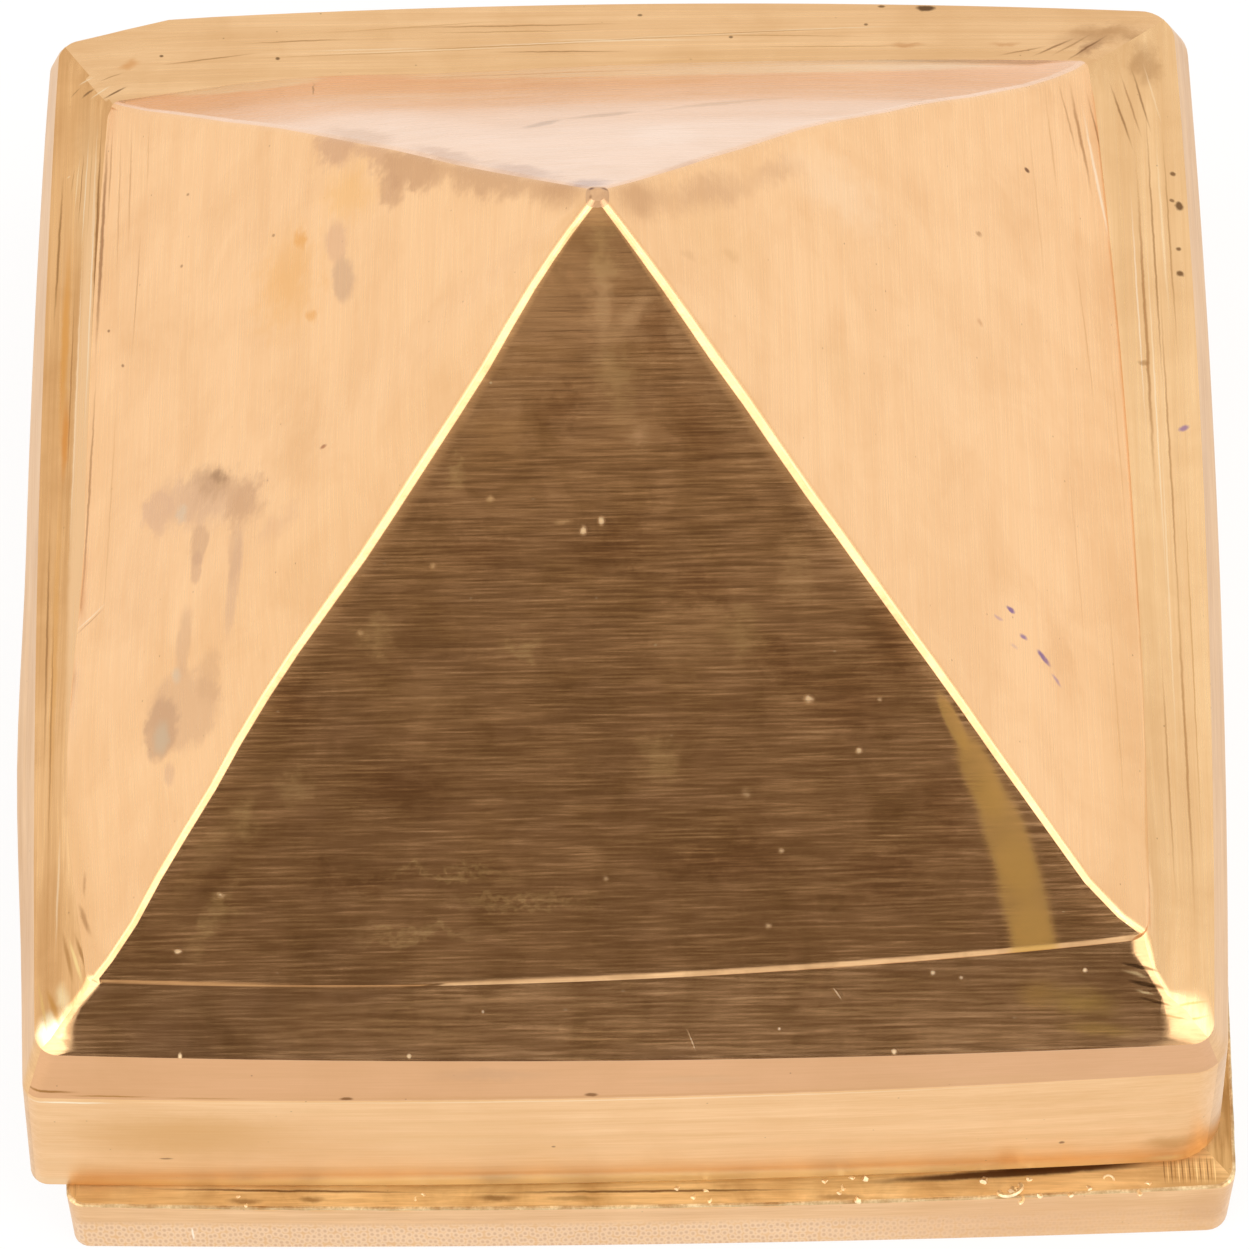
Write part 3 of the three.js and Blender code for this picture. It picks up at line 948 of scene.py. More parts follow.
LEFT_SHOULDER_MARKS = (
    *BACK_LEFT_STROKES,
    Blot((-22.5, 15.5), (0.9, 5.5), "#fcd8a8", 0.35, 0.0, 0.9, 0.4),
    *(
        streak((-21.9 - n * 0.19, 19.6 - n * 0.5), (-22.1 - n * 0.19, 9.0 + n), 0.07, shade, 0.6, 0.7, 0.03)
        for n, shade in enumerate(
            ("#a87a48", "#ffe8c6", "#b98a56", "#fff0d4", "#a17040", "#ffe2b8", "#c29460", "#ffeccc")
        )
    ),
    # the pale inner strip, the orange stain beside it and the long grooves
    streak((-22.3, 19.0), (-22.5, -16.0), 1.0, "#f8cfa0", 0.85, 0.5, 0.08),
    streak((-23.2, 14.0), (-23.35, 2.0), 0.5, "#e0a052", 0.75, 0.8, 0.12),
    streak((-23.1, 6.0), (-23.15, 1.0), 0.45, "#dc9244", 0.75, 0.8, 0.12),
    streak((-23.3, 3.0), (-23.3, -16.0), 0.4, "#e6ad66", 0.55, 0.8, 0.12),
    streak((-23.7, 19.0), (-24.0, 8.0), 0.5, "#efbf88", 0.6, 0.8, 0.08),
    streak((-23.55, 17.0), (-23.8, 8.0), 0.16, "#8f6233", 0.7, 0.8, 0.05),
    streak((-23.7, 1.0), (-23.6, -12.0), 0.14, "#94663a", 0.65, 0.8, 0.05),
    streak((-23.4, -3.0), (-23.3, -17.0), 0.12, "#9d6d3d", 0.6, 0.8, 0.05),
    streak((-22.1, 17.5), (-22.3, 2.0), 0.1, "#ffe8ca", 0.8, 0.8, 0.04),
    streak((-22.6, 14.0), (-22.8, -4.0), 0.1, "#ffe3bf", 0.7, 0.8, 0.04),
    streak((-22.9, 12.0), (-23.0, 0.0), 0.1, "#a3723f", 0.6, 0.8, 0.04),
    streak((-21.95, 18.5), (-22.05, 6.0), 0.2, "#946336", 0.7, 0.7, 0.06),
    streak((-22.8, -14.0), (-22.9, -20.0), 0.14, "#ffe6c4", 0.5, 0.8, 0.05),
    # the bright corner is a painted highlight, with fanning strokes of the file through it
    Blot((-23.0, -23.0), (0.8, 1.0), "#fff2cc", 0.95, 10.0, 0.7, 0.15),
    Blot((-22.5, -21.8), (0.4, 1.0), "#ffe9b8", 0.7, 10.0, 0.9, 0.2),
    streak((-22.7, -18.6), (-22.0, -21.6), 0.26, "#b98750", 0.75, 0.8, 0.06),
    streak((-22.4, -19.1), (-21.6, -21.7), 0.2, "#ffdf9c", 0.9, 0.8, 0.05),
    streak((-22.15, -19.0), (-21.4, -21.3), 0.2, "#a9763f", 0.75, 0.8, 0.05),
    streak((-21.8, -19.2), (-21.15, -21.2), 0.2, "#ffdf9c", 0.9, 0.8, 0.05),
    streak((-21.5, -18.9), (-21.0, -20.8), 0.16, "#b07d48", 0.7, 0.8, 0.05),
    streak((-23.3, -21.0), (-22.5, -23.2), 0.35, "#c89047", 0.75, 0.8, 0.06),
    streak((-23.65, -20.5), (-23.1, -23.4), 0.2, "#e8c07a", 0.6, 0.8, 0.06),
)

RIGHT_SHOULDER_MARKS = (
    *FRONT_RIGHT_STROKES,
    streak((22.0, 18.0), (22.3, -2.0), 0.22, "#a87440", 0.7, 0.8, 0.08),
    streak((22.5, 20.0), (22.8, 4.0), 0.14, "#9c6a3a", 0.65, 0.8, 0.06),
    streak((22.8, 12.0), (23.1, -8.0), 0.14, "#a87644", 0.6, 0.8, 0.06),
    streak((23.2, 19.0), (23.5, 6.0), 0.12, "#b08250", 0.6, 0.8, 0.06),
    streak((23.0, -2.0), (23.2, -20.0), 0.18, "#b07c46", 0.65, 0.8, 0.06),
    streak((22.2, -6.0), (22.4, -19.0), 0.14, "#b98752", 0.6, 0.8, 0.06),
    streak((22.3, 14.0), (22.6, -6.0), 0.1, "#ffe6c2", 0.75, 0.8, 0.04),
    streak((22.6, 6.0), (22.7, -14.0), 0.1, "#ffe2ba", 0.7, 0.8, 0.04),
    streak((21.7, 16.0), (22.0, 2.0), 0.1, "#ffe9cc", 0.7, 0.8, 0.04),
    streak((22.9, 18.0), (23.2, 8.0), 0.16, "#ffe4bc", 0.6, 0.8, 0.05),
    streak((23.5, 4.0), (23.6, -18.0), 0.1, "#c9975c", 0.6, 0.8, 0.05),
    Blot((23.6, 15.8), (0.16, 0.13), "#6b4626", 0.8, 0.0, 0.6, 0.1),
    Blot((23.8, 14.3), (0.26, 0.28), "#5f3d20", 0.85, 0.0, 0.5, 0.2),
    Blot((23.5, 14.5), (0.14, 0.12), "#6b4626", 0.7, 0.0, 0.6, 0.1),
    Blot((23.7, 12.2), (0.15, 0.12), "#6b4626", 0.8, 0.0, 0.6, 0.1),
    Blot((23.75, 11.0), (0.2, 0.2), "#6b4626", 0.85, 0.0, 0.6, 0.15),
    Blot((23.6, 3.7), (0.35, 0.16), "#8460a0", 0.7, 40.0, 0.7, 0.12),
    Blot((22.0, 6.5), (0.3, 0.16), "#a87844", 0.6, 0.0, 0.7, 0.2),
    # the brown corner, with strokes that swing round it
    Blot((22.6, 20.9), (1.0, 1.6), "#b48658", 0.55, 0.0, 0.9, 0.8),
    streak((20.9, 20.0), (22.0, 16.4), 0.16, "#8f6138", 0.7, 0.8, 0.06),
    streak((21.4, 20.6), (22.4, 17.0), 0.14, "#a4744a", 0.6, 0.8, 0.06),
    streak((21.9, 21.0), (22.8, 17.4), 0.14, "#865a33", 0.65, 0.8, 0.06),
    streak((22.4, 21.4), (23.3, 17.8), 0.12, "#ffe2ba", 0.5, 0.8, 0.06),
    # strokes across the front corner
    streak((21.8, -22.6), (23.8, -22.0), 0.16, "#d9a55c", 0.7, 0.8, 0.05),
    streak((21.9, -23.2), (23.8, -22.6), 0.16, "#cf9a50", 0.7, 0.8, 0.05),
)

FRONT_FACE_MARKS = (
    # a painted reflection beside the right ridge: a rougher, yellower strip that mirrors the whole room
    Blot((13.2, -14.1), (1.3, 0.35), "#d9ab60", 0.75, -52.0, 0.5, 0.0, 0.27),
    Blot((14.3, -15.6), (1.9, 0.8), "#d9ab60", 0.75, -54.0, 0.5, 0.0, 0.27),
    Blot((15.4, -17.3), (2.4, 1.05), "#d9ab60", 0.75, -58.0, 0.45, 0.0, 0.27),
    Blot((16.1, -19.0), (2.4, 1.2), "#d9ab60", 0.75, -66.0, 0.45, 0.0, 0.27),
    Blot((16.6, -20.7), (2.1, 1.25), "#d9ab60", 0.75, -76.0, 0.45, 0.0, 0.27),
    # darker, redder patches where the brush polished it again
    *(
        Blot(at, size, "#a9744c", 0.42, turn, 1.0, 1.1)
        for at, size, turn in (
            ((1.6, -3.6), (1.5, 0.8), -55.0),
            ((3.0, -6.0), (2.2, 1.2), -50.0),
            ((-2.1, -5.6), (1.6, 0.7), 0.0),
            ((10.7, -11.9), (1.4, 2.2), 30.0),
            ((12.9, -16.6), (1.2, 2.4), 25.0),
            ((6.2, -12.4), (2.6, 0.8), -30.0),
            ((3.2, -10.4), (2.0, 0.9), 0.0),
            ((-12.8, -13.6), (1.3, 1.2), 0.0),
            ((-17.0, -18.4), (1.6, 0.6), 0.0),
            ((-8.7, -15.9), (3.0, 1.0), 0.0),
            ((-5.4, -9.6), (2.4, 1.0), 0.0),
            ((9.1, -13.7), (2.6, 1.4), 0.0),
            ((0.1, -9.3), (3.0, 1.0), 0.0),
            ((-10.8, -18.6), (3.2, 0.6), 0.0),
            ((4.2, -18.0), (4.4, 0.8), 0.0),
            ((10.6, -18.4), (3.0, 1.2), 0.0),
        )
    ),
    # paler, greener ones where it is only wiped
    *(
        Blot(at, size, "#f2cf90", 0.4, turn, 1.0, 1.2, 0.24)
        for at, size, turn in (
            ((4.8, -11.6), (1.3, 0.9), 0.0),
            ((-12.9, -16.0), (1.0, 0.8), 0.0),
            ((-14.9, -17.0), (1.0, 0.7), 0.0),
            ((-3.7, -12.1), (1.2, 0.5), 0.0),
            ((-4.0, -19.2), (4.4, 0.22), 0.0),
            ((-8.1, -20.1), (4.0, 0.25), 0.0),
            ((-7.0, -18.3), (4.2, 0.16), 0.0),
            ((1.6, -15.1), (1.4, 0.9), 0.0),
            ((-6.1, -7.4), (0.7, 0.5), 0.0),
            ((-9.4, -11.8), (1.2, 0.8), 0.0),
            ((-0.4, -1.7), (0.8, 1.3), 0.0),
            ((0.0, -4.8), (1.0, 1.6), 20.0),
            ((-16.4, -19.6), (2.4, 0.5), 45.0),
        )
    ),
    streak((-19.4, -20.6), (-13.0, -14.6), 1.3, "#f3c98e", 0.4, 1.0, 0.5, 0.2),
    # smoky wipes under the tip and across the middle
    Blot((-0.5, -2.9), (1.9, 0.8), "#f8cf9c", 0.5, 89.0, 1.0, 0.8, 0.27),
    Blot((0.7, -3.2), (1.4, 0.45), "#f8cf9c", 0.45, 42.0, 1.0, 0.4, 0.27),
    Blot((0.9, -6.4), (0.7, 0.6), "#f8cf9c", 0.4, 0.0, 1.0, 0.6, 0.26),
    Blot((7.0, -10.1), (1.8, 1.0), "#f2c890", 0.4, -67.0, 1.0, 0.9, 0.24),
    Blot((-4.5, -6.4), (2.2, 1.2), "#eebf85", 0.35, 0.0, 1.0, 1.2, 0.22),
    Blot((3.2, -11.8), (3.2, 1.3), "#f0c48c", 0.35, 0.0, 1.0, 1.2, 0.22),
    Blot((-7.5, -13.6), (3.0, 1.0), "#f0c48c", 0.3, 0.0, 1.0, 1.2, 0.2),
    streak((3.2, -18.9), (15.0, -18.3), 0.2, "#f0c48c", 0.4, 1.0, 0.1, 0.24),
    streak((-15.4, -20.8), (-2.5, -21.0), 0.2, "#f0c48c", 0.35, 1.0, 0.1, 0.22),
    # grains of dust, which scatter light and so show pale on the dark mirror
    Blot((-1.3, -8.9), (0.2, 0.17), "#ffe0b0", 0.7, 0.0, 1.0, 0.12, 0.5),
    Blot((-0.6, -8.65), (0.22, 0.19), "#ffe0b0", 0.7, 0.0, 1.0, 0.1, 0.5),
    Blot((-2.1, -8.7), (0.6, 0.1), "#ffd79a", 0.4, 0.0, 1.0, 0.1, 0.35),
    Blot((-17.8, -20.6), (0.25, 0.11), "#ffe0b0", 0.7, 0.0, 1.0, 0.1, 0.5),
    Blot((-16.0, -19.0), (0.3, 0.15), "#ffe0b0", 0.4, 0.0, 1.0, 0.2, 0.4),
    Blot((7.5, -13.5), (0.3, 0.16), "#ffe0b0", 0.6, 0.0, 1.0, 0.15, 0.45),
    Blot((9.5, -14.9), (0.2, 0.14), "#ffe0b0", 0.6, 0.0, 1.0, 0.1, 0.45),
    Blot((10.3, -13.5), (0.16, 0.12), "#ffe0b0", 0.4, 0.0, 1.0, 0.1, 0.4),
    Blot((5.0, -16.1), (0.3, 0.18), "#ffe0b0", 0.35, 0.0, 1.0, 0.2, 0.35),
    Blot((6.4, -17.7), (0.2, 0.12), "#ffe0b0", 0.5, 0.0, 1.0, 0.1, 0.4),
    Blot((5.9, -19.8), (0.22, 0.14), "#ffe0b0", 0.5, 0.0, 1.0, 0.15, 0.4),
    Blot((-7.2, -9.9), (0.2, 0.15), "#ffd79a", 0.4, 0.0, 1.0, 0.1, 0.35),
    Blot((-4.9, -8.1), (0.25, 0.15), "#ffd79a", 0.5, 0.0, 1.0, 0.15, 0.35),
    Blot((-10.1, -11.7), (0.2, 0.14), "#ffd79a", 0.4, 0.0, 1.0, 0.1, 0.35),
    Blot((-0.6, -18.5), (0.2, 0.12), "#ffe0b0", 0.4, 0.0, 1.0, 0.1, 0.4),
)

FRONT_SHOULDER_MARKS = (
    *FRONT_RIGHT_STROKES,
    # painted highlights at the front right corner, on rougher metal, and the end of the painted reflection beside
    # the right ridge
    Blot((18.4, -22.3), (2.1, 0.8), "#d9b25e", 0.6, -8.0, 0.9, 0.4, 0.25),
    Blot((19.2, -23.3), (2.4, 0.4), "#e0b866", 0.5, -5.0, 0.9, 0.2, 0.28),
    streak((20.0, -21.2), (21.3, -21.5), 0.2, "#ffe2a8", 0.6, 0.8, 0.1, 0.32),
    streak((20.5, -21.9), (21.5, -22.1), 0.16, "#ffe2a8", 0.6, 0.8, 0.1, 0.32),
    Blot((16.6, -22.0), (1.2, 0.8), "#d9ab60", 0.6, 0.0, 0.9, 0.3, 0.25),
    Blot((-17.8, -24.0), (0.12, 0.2), "#ffe6bc", 0.8, 0.0, 1.0, 0.1, 0.6),
    Blot((-8.6, -24.1), (0.12, 0.14), "#ffe6bc", 0.6, 0.0, 1.0, 0.1, 0.55),
    Blot((10.9, -24.1), (0.14, 0.16), "#ffe6bc", 0.7, 0.0, 1.0, 0.1, 0.6),
    Blot((-5.6, -22.5), (0.1, 0.1), "#ffe6bc", 0.5, 0.0, 1.0, 0.05, 0.5),
    Blot((6.3, -23.2), (0.1, 0.1), "#ffe6bc", 0.5, 0.0, 1.0, 0.05, 0.5),
    Blot((12.5, -21.2), (0.16, 0.14), "#ffe6bc", 0.6, 0.0, 1.0, 0.1, 0.5),
    Blot((13.6, -21.4), (0.14, 0.1), "#ffe6bc", 0.5, 0.0, 1.0, 0.1, 0.5),
    Blot((18.6, -21.2), (0.12, 0.12), "#ffe6bc", 0.7, 0.0, 1.0, 0.05, 0.6),
    streak((2.5, -23.0), (3.0, -24.2), 0.08, "#ffe6bc", 0.3, 0.8, 0.05, 0.5),
    streak((8.4, -21.6), (8.9, -22.3), 0.08, "#ffe6bc", 0.4, 0.8, 0.05, 0.5),
    streak((-14.0, -22.4), (-4.0, -22.2), 0.3, "#f0c48c", 0.3, 1.0, 0.15, 0.2),
    streak((3.0, -22.8), (14.0, -22.6), 0.3, "#f0c48c", 0.35, 1.0, 0.15, 0.2),
)

FRONT_BREAK_MARKS_AND_PAINTED_LIGHT = (
    # a painted highlight along the edge over the skirt, with a darker line above it
    front_blot((0.0, 8.83), (24.6, 0.07), "#ffe9c8", 0.7, 0.8, 0.05),
    front_blot((0.0, 9.0), (24.4, 0.12), "#cf9c66", 0.45, 0.9, 0.08),
    front_blot((-11.2, 9.0), (0.35, 0.13), "#7d5228", 0.85),
    front_blot((-1.3, 9.1), (0.35, 0.15), "#7d5228", 0.8),
    front_blot((-5.4, 10.4), (3.4, 0.55), "#cfa27a", 0.55, 0.9, 0.5),
    front_blot((3.0, 10.0), (2.8, 0.45), "#d5aa80", 0.4, 0.9, 0.5),
    # painted shadow in the small step at the break's left end
    front_blot((-23.3, 9.25), (1.5, 0.1), "#9a6a2e", 0.85, 0.8, 0.06),
    front_blot((-20.8, 9.05), (2.2, 0.07), "#a87838", 0.8, 0.8, 0.05),
    front_blot((-17.0, 9.0), (2.6, 0.05), "#b58646", 0.6, 0.8, 0.05),
    # a darker patch on the right half
    front_blot((14.0, 9.3), (9.0, 0.5), "#d9aa78", 0.4, 0.9, 0.3),
)

FRONT_SKIRT_MARKS_AND_PAINTED_LIGHT = (
    # a painted highlight along the skirt's top edge
    front_blot((0.0, 8.7), (24.6, 0.1), "#ffe6c0", 0.5, 0.9, 0.05),
    front_blot((-22.5, 8.55), (2.2, 0.12), "#fff0d0", 0.9, 0.8, 0.08),
    # a painted reflection of the milled ledge along the foot, olive gold
    front_blot((0.0, 0.6), (28.0, 0.95), "#fff0cc", 0.9, 0.6, 0.1),
    front_blot((22.4, 0.9), (1.1, 0.4), "#fff0c8", 0.6, 0.9, 0.15),
    # darker and more golden towards the left, with dark pits
    front_blot((-14.5, 4.5), (9.0, 4.0), "#e6b278", 0.4, 0.9, 0.5),
    front_blot((-18.9, 3.0), (0.35, 0.12), "#7d5228", 0.8),
    front_blot((-2.9, 4.1), (0.12, 0.12), "#80532a", 0.7),
    front_blot((18.0, 2.9), (0.16, 0.16), "#80532a", 0.8),
    front_blot((-18.0, 5.4), (6.5, 3.4), "#dca866", 0.9, 0.9, 0.6),
    front_blot((-7.0, 5.4), (6.0, 2.6), "#ebbd84", 0.4, 0.9, 0.6),
    front_blot((22.5, 2.4), (1.8, 0.9), "#c58f45", 0.55, 0.9, 0.4),
)

TIP_MARKS = (
    Blot((-0.8, 0.3), (0.16, 0.12), "#6b3f28", 0.9, 0.0, 0.9, 0.05),
    Blot((-0.3, 0.3), (0.2, 0.1), "#7d4f34", 0.8, 0.0, 0.9, 0.05),
    Blot((-0.85, -0.1), (0.1, 0.16), "#96694c", 0.6, 0.0, 0.9, 0.05),
)

# The marks on the base plate, in millimetres of the plate

PLATE_EDGE_MARKS = (
    front_blot((-19.0, 1.6), (0.06, 0.85), "#fff0d8", 0.9, 0.5, 0.04),
    front_blot((16.0, 2.2), (9.0, 3.5), "#e2ae78", 0.45, 0.9, 0.5),
    front_blot((23.5, 2.5), (2.0, 3.0), "#d3a06c", 0.5, 0.9, 0.4),
    front_blot((-8.0, 3.3), (6.0, 0.25), "#dba873", 0.45, 0.9, 0.3),
)

LEDGE_MARKS_AND_PAINTED_SHADOW = (
    # painted shadow in the gap under the cover, wider to the right where its foot stands off
    streak((-22.3, -24.72), (-8.0, -25.06), 0.16, "#6b4522", 0.85, 0.8, 0.05),
    streak((-8.5, -25.06), (8.5, -25.03), 0.16, "#6b4522", 0.85, 0.8, 0.05),
    streak((8.0, -24.8), (22.3, -24.0), 0.45, "#55331a", 0.95, 0.6, 0.08),
    streak((13.0, -24.35), (21.8, -23.8), 0.64, "#55331a", 0.95, 0.5, 0.1),
    # the cutter's own lines where it turned at the corner
    *(
        streak((21.5 + n * 0.15, -23.6), (21.55 + n * 0.15, -25.05), 0.07, shade, 0.7, 0.6, 0.03)
        for n, shade in enumerate(("#84592c", "#f3d092", "#74491f", "#a97c42", "#ffe2a6") * 3)
    ),
    # dark patches along the ledge's outer edge
    Blot((-16.7, -25.35), (1.0, 0.2), "#8a6233", 0.7, 0.0, 0.8, 0.15),
    Blot((-13.9, -25.3), (0.7, 0.18), "#8a6233", 0.7, 0.0, 0.8, 0.15),
    Blot((-6.2, -25.3), (1.1, 0.2), "#80592d", 0.75, 0.0, 0.8, 0.15),
    Blot((-3.0, -25.35), (1.6, 0.15), "#94703d", 0.6, 0.0, 0.8, 0.15),
    Blot((8.0, -25.35), (1.4, 0.18), "#8a6233", 0.6, 0.0, 0.8, 0.15),
)


# The cover


@dataclass
class PyramidCover:
    """The hollow cast cover with its filed skirt, break, shoulder and four main faces.

    Attributes:
        side_cuts: points along each side of each line.
        corner_steps: steps round each corner.
        smooth_below: the angle in degrees below which two faces look like one round one.
        foot_eases: how far the underside's four corners are filed in, across and along.
        foot: the skirt's lower edge.
        skirt_shares: the skirt's lines, as shares of the way from its top to its foot.
        skirt_top: where the skirt meets the break.
        break_shares: the break's lines, as shares of the way from its top to the skirt.
        break_top: where the break meets the shoulder.
        crease: where the shoulder meets the main faces.
        riser: how far the main faces' lower line stands off the crease, most at the front right.
        riser_touches: where that line is out of true.
        riser_dip: how much less than the crease its front hangs, as a share of the riser's height.
        tip: the edge of the worn top.
        tip_top: the worn top itself.
        face_shares: the main faces' lines, as shares of the way from the tip to the crease.
        ridge_bends: at such shares, how far the two front ridges stray across and the two back ones along.
        ridge_round: the rounding of the four ridges at the crease.
        ridge_round_high: the same near the tip.
        worn_share: the share of the way down to which the ridges are worn rounder.
        shoulder_rounds: the shoulder's lines below the crease, as shares of its width, their corner rounding, and
            how far the file went in at the front right corner.
        shoulder_reach: how far from that corner the last is felt.
        hollow: the lines of the hollow, from its mouth up: name, half width, height, corner and middle.
    """

    side_cuts: int = 23
    corner_steps: int = 8
    smooth_below: float = 30.0
    foot_eases: tuple[Pair, Pair, Pair, Pair] = ((0.16, 0.16), (-0.32, 0.4), (-0.16, -0.16), (0.16, -0.16))
    foot: Outline = Outline(
        "foot",
        ((-24.73, -25.25, 0.2), (24.78, -24.75, 0.55), (25.05, 24.9, 0.3), (-24.95, 24.87, 0.2)),
        (0.8, 2.2, 1.4, 0.9),
        (0.42, 0.45, 0.75, 0.46),
        touches=(
            Touch((-25.0, 24.8, 0.2), (0.0, -0.85, 0.0), 5.0),
            Touch((-24.9, -11.0, 0.2), (-0.2, 0.0, 0.0), 10.0),
        ),
    )
    skirt_shares: tuple[float, ...] = (0.01, 0.05, 0.35, 0.7)
    skirt_top: Outline = Outline(
        "skirt_top",
        ((-24.37, -24.85, 8.8), (24.55, -24.15, 8.8), (24.7, 24.52, 8.8), (-24.55, 24.49, 8.8)),
        (0.8, 1.5, 1.4, 0.9),
        (0.52, 0.45, 0.75, 0.46),
        touches=(
            Touch((-24.6, 24.4, 8.8), (0.0, -0.85, 0.0), 5.0),
            Touch((-24.9, -11.0, 8.8), (-0.2, 0.0, 0.0), 10.0),
        ),
    )
    break_shares: tuple[float, ...] = (0.04, 0.12, 0.88, 0.97)
    break_top: Outline = Outline(
        "break_top",
        ((-23.7, -23.92, 11.3), (23.82, -23.88, 11.3), (23.95, 23.9, 11.3), (-23.95, 23.72, 11.3)),
        (1.0, 1.0, 1.5, 0.9),
        (0.46, 0.45, 0.67, 0.36),
        touches=(Touch((-23.95, 23.6, 11.3), (0.0, -0.85, 0.0), 5.0),),
    )
    crease: Outline = Outline(
        "crease",
        ((-21.4, -21.6, 12.95), (21.25, -20.16, 13.3), (20.25, 20.75, 12.7), (-21.7, 19.3, 12.5)),
        (0.6, 0.9, 2.0, 1.0),
        (0.47, 0.5, 0.76, 0.62),
        (0.62, 0.5, 0.1, 0.3),
        (
            Touch((-21.5, -12.0, 12.6), (-0.7, 0.0, 0.0), 12.0),
            Touch((-14.0, 20.3, 12.5), (0.0, 0.32, 0.0), 8.0),
        ),
    )
    riser: Corners = ((0.04, 0.08, 0.03), (-0.02, 0.04, 0.13), (-0.02, -0.02, 0.03), (0.03, -0.02, 0.03))
    riser_touches: tuple[Touch, ...] = (
        Touch((-21.47, -12.0, 12.65), (-0.7, 0.0, 0.0), 12.0),
        Touch((-14.0, 20.28, 12.53), (0.0, 0.32, 0.0), 8.0),
    )
    riser_dip: float = 0.4
    tip: Outline = Outline(
        "tip",
        ((-1.03, -0.45, 39.08), (-0.13, -0.45, 39.08), (-0.13, 0.45, 39.08), (-1.03, 0.45, 39.08)),
        (0.3, 0.3, 0.3, 0.3),
    )
    tip_top: Outline = Outline(
        "tip_top",
        ((-0.85, -0.27, 39.28), (-0.31, -0.27, 39.28), (-0.31, 0.27, 39.28), (-0.85, 0.27, 39.28)),
        (0.2, 0.2, 0.2, 0.2),
    )
    face_shares: tuple[float, ...] = (
        0.03, 0.06, 0.1, 0.15, 0.2, 0.26, 0.32, 0.38, 0.44, 0.5, 0.56, 0.62, 0.68, 0.74, 0.8, 0.86, 0.92, 0.97,
        0.993,
    )
    ridge_bends: tuple[tuple[float, Four], ...] = (
        (1.0, (0.0, 0.0, 0.0, 0.0)),
        (0.945, (0.18, -0.72, -0.35, -0.1)),
        (0.86, (-0.06, -0.66, -0.4, 0.0)),
        (0.8, (-0.14, -0.6, -0.3, 0.05)),
        (0.6, (-0.38, -0.42, 0.1, 0.25)),
        (0.4, (-0.06, -0.3, 0.4, 0.2)),
        (0.22, (-0.06, -0.06, 0.2, 0.02)),
        (0.1, (-0.24, 0.05, 0.05, 0.0)),
        (0.05, (-0.2, 0.05, 0.0, 0.0)),
        (0.0, (0.0, 0.0, 0.0, 0.0)),
    )
    ridge_round: Four = (0.27, 0.28, 0.4, 0.4)
    ridge_round_high: Four = (0.42, 0.46, 0.5, 0.5)
    worn_share: float = 0.2
    shoulder_rounds: tuple[tuple[float, Four, float], ...] = (
        (0.12, (0.5, 1.0, 2.0, 1.1), 0.2),
        (0.32, (0.45, 0.4, 2.0, 1.4), 0.6),
        (0.55, (0.7, 0.4, 1.9, 1.3), 0.65),
        (0.78, (1.2, 1.6, 1.9, 1.1), 0.1),
        (0.93, (1.7, 2.0, 1.8, 1.0), 0.0),
    )
    shoulder_reach: float = 4.0
    hollow: tuple[tuple[str, float, float, float, Pair], ...] = (
        ("mouth", 22.7, 0.0, 1.0, (0.0, 0.0)),
        ("hollow_middle", 22.55, 4.0, 1.0, (0.0, 0.0)),
        ("hollow_wall_top", 22.4, 6.9, 1.4, (0.0, 0.0)),
        ("roof_foot", 20.3, 8.2, 1.0, (-0.3, -0.25)),
        ("hollow_top", 1.2, 34.6, 0.5, (-0.58, 0.0)),
    )

    def bend_at(self, share: float) -> Corners:
        """Gives how far the ridges stray at one height, eased between the set ones.

        Args:
            share: the share of the way from the tip to the crease.

        Returns:
            The shift of each ridge.
        """
        for (far, far_bends), (near, near_bends) in zip(self.ridge_bends, self.ridge_bends[1:]):
            if near <= share <= far:
                ease = 0.5 - 0.5 * math.cos(math.pi * (share - near) / (far - near))
                front_left, front_right, back_right, back_left = mixed(near_bends, far_bends, ease)
                front = ((front_left, 0.0, 0.0), (front_right, 0.0, 0.0))
                return (*front, (0.0, back_right, 0.0), (0.0, back_left, 0.0))
        raise ValueError(f"no ridge at share {share}")

    def face_line(self, lower: Outline, share: float) -> Outline:
        """Gives one line of the main faces.

        Args:
            lower: the faces' lower line.
            share: the share of the way from the tip to it.

        Returns:
            The line, with its four ridges bent and worn.
        """
        line = self.tip.between(lower, share, f"face_{round(share * 1000)}")
        worn = min(1.0, share / self.worn_share)
        round_here = mixed(self.ridge_round_high, self.ridge_round, share)
        line = line.moved(self.bend_at(share), line.name)
        return replace(line, radii=mixed(self.tip.radii, round_here, worn))

    def shoulder_line(self, share: float, rounds: Four, pull_in: float) -> Outline:
        """Gives one line of the shoulder.

        Args:
            share: the share of the way from the crease to the break.
            rounds: the rounding of its corners.
            pull_in: how far the file went in at the front right corner.

        Returns:
            The line.
        """
        line = self.crease.between(self.break_top, share, f"shoulder_{round(share * 100)}")
        filed_in = Touch(line.corners[1], (-pull_in, 0.0, 0.0), self.shoulder_reach)
        return replace(line, radii=rounds, touches=line.touches + (filed_in,))

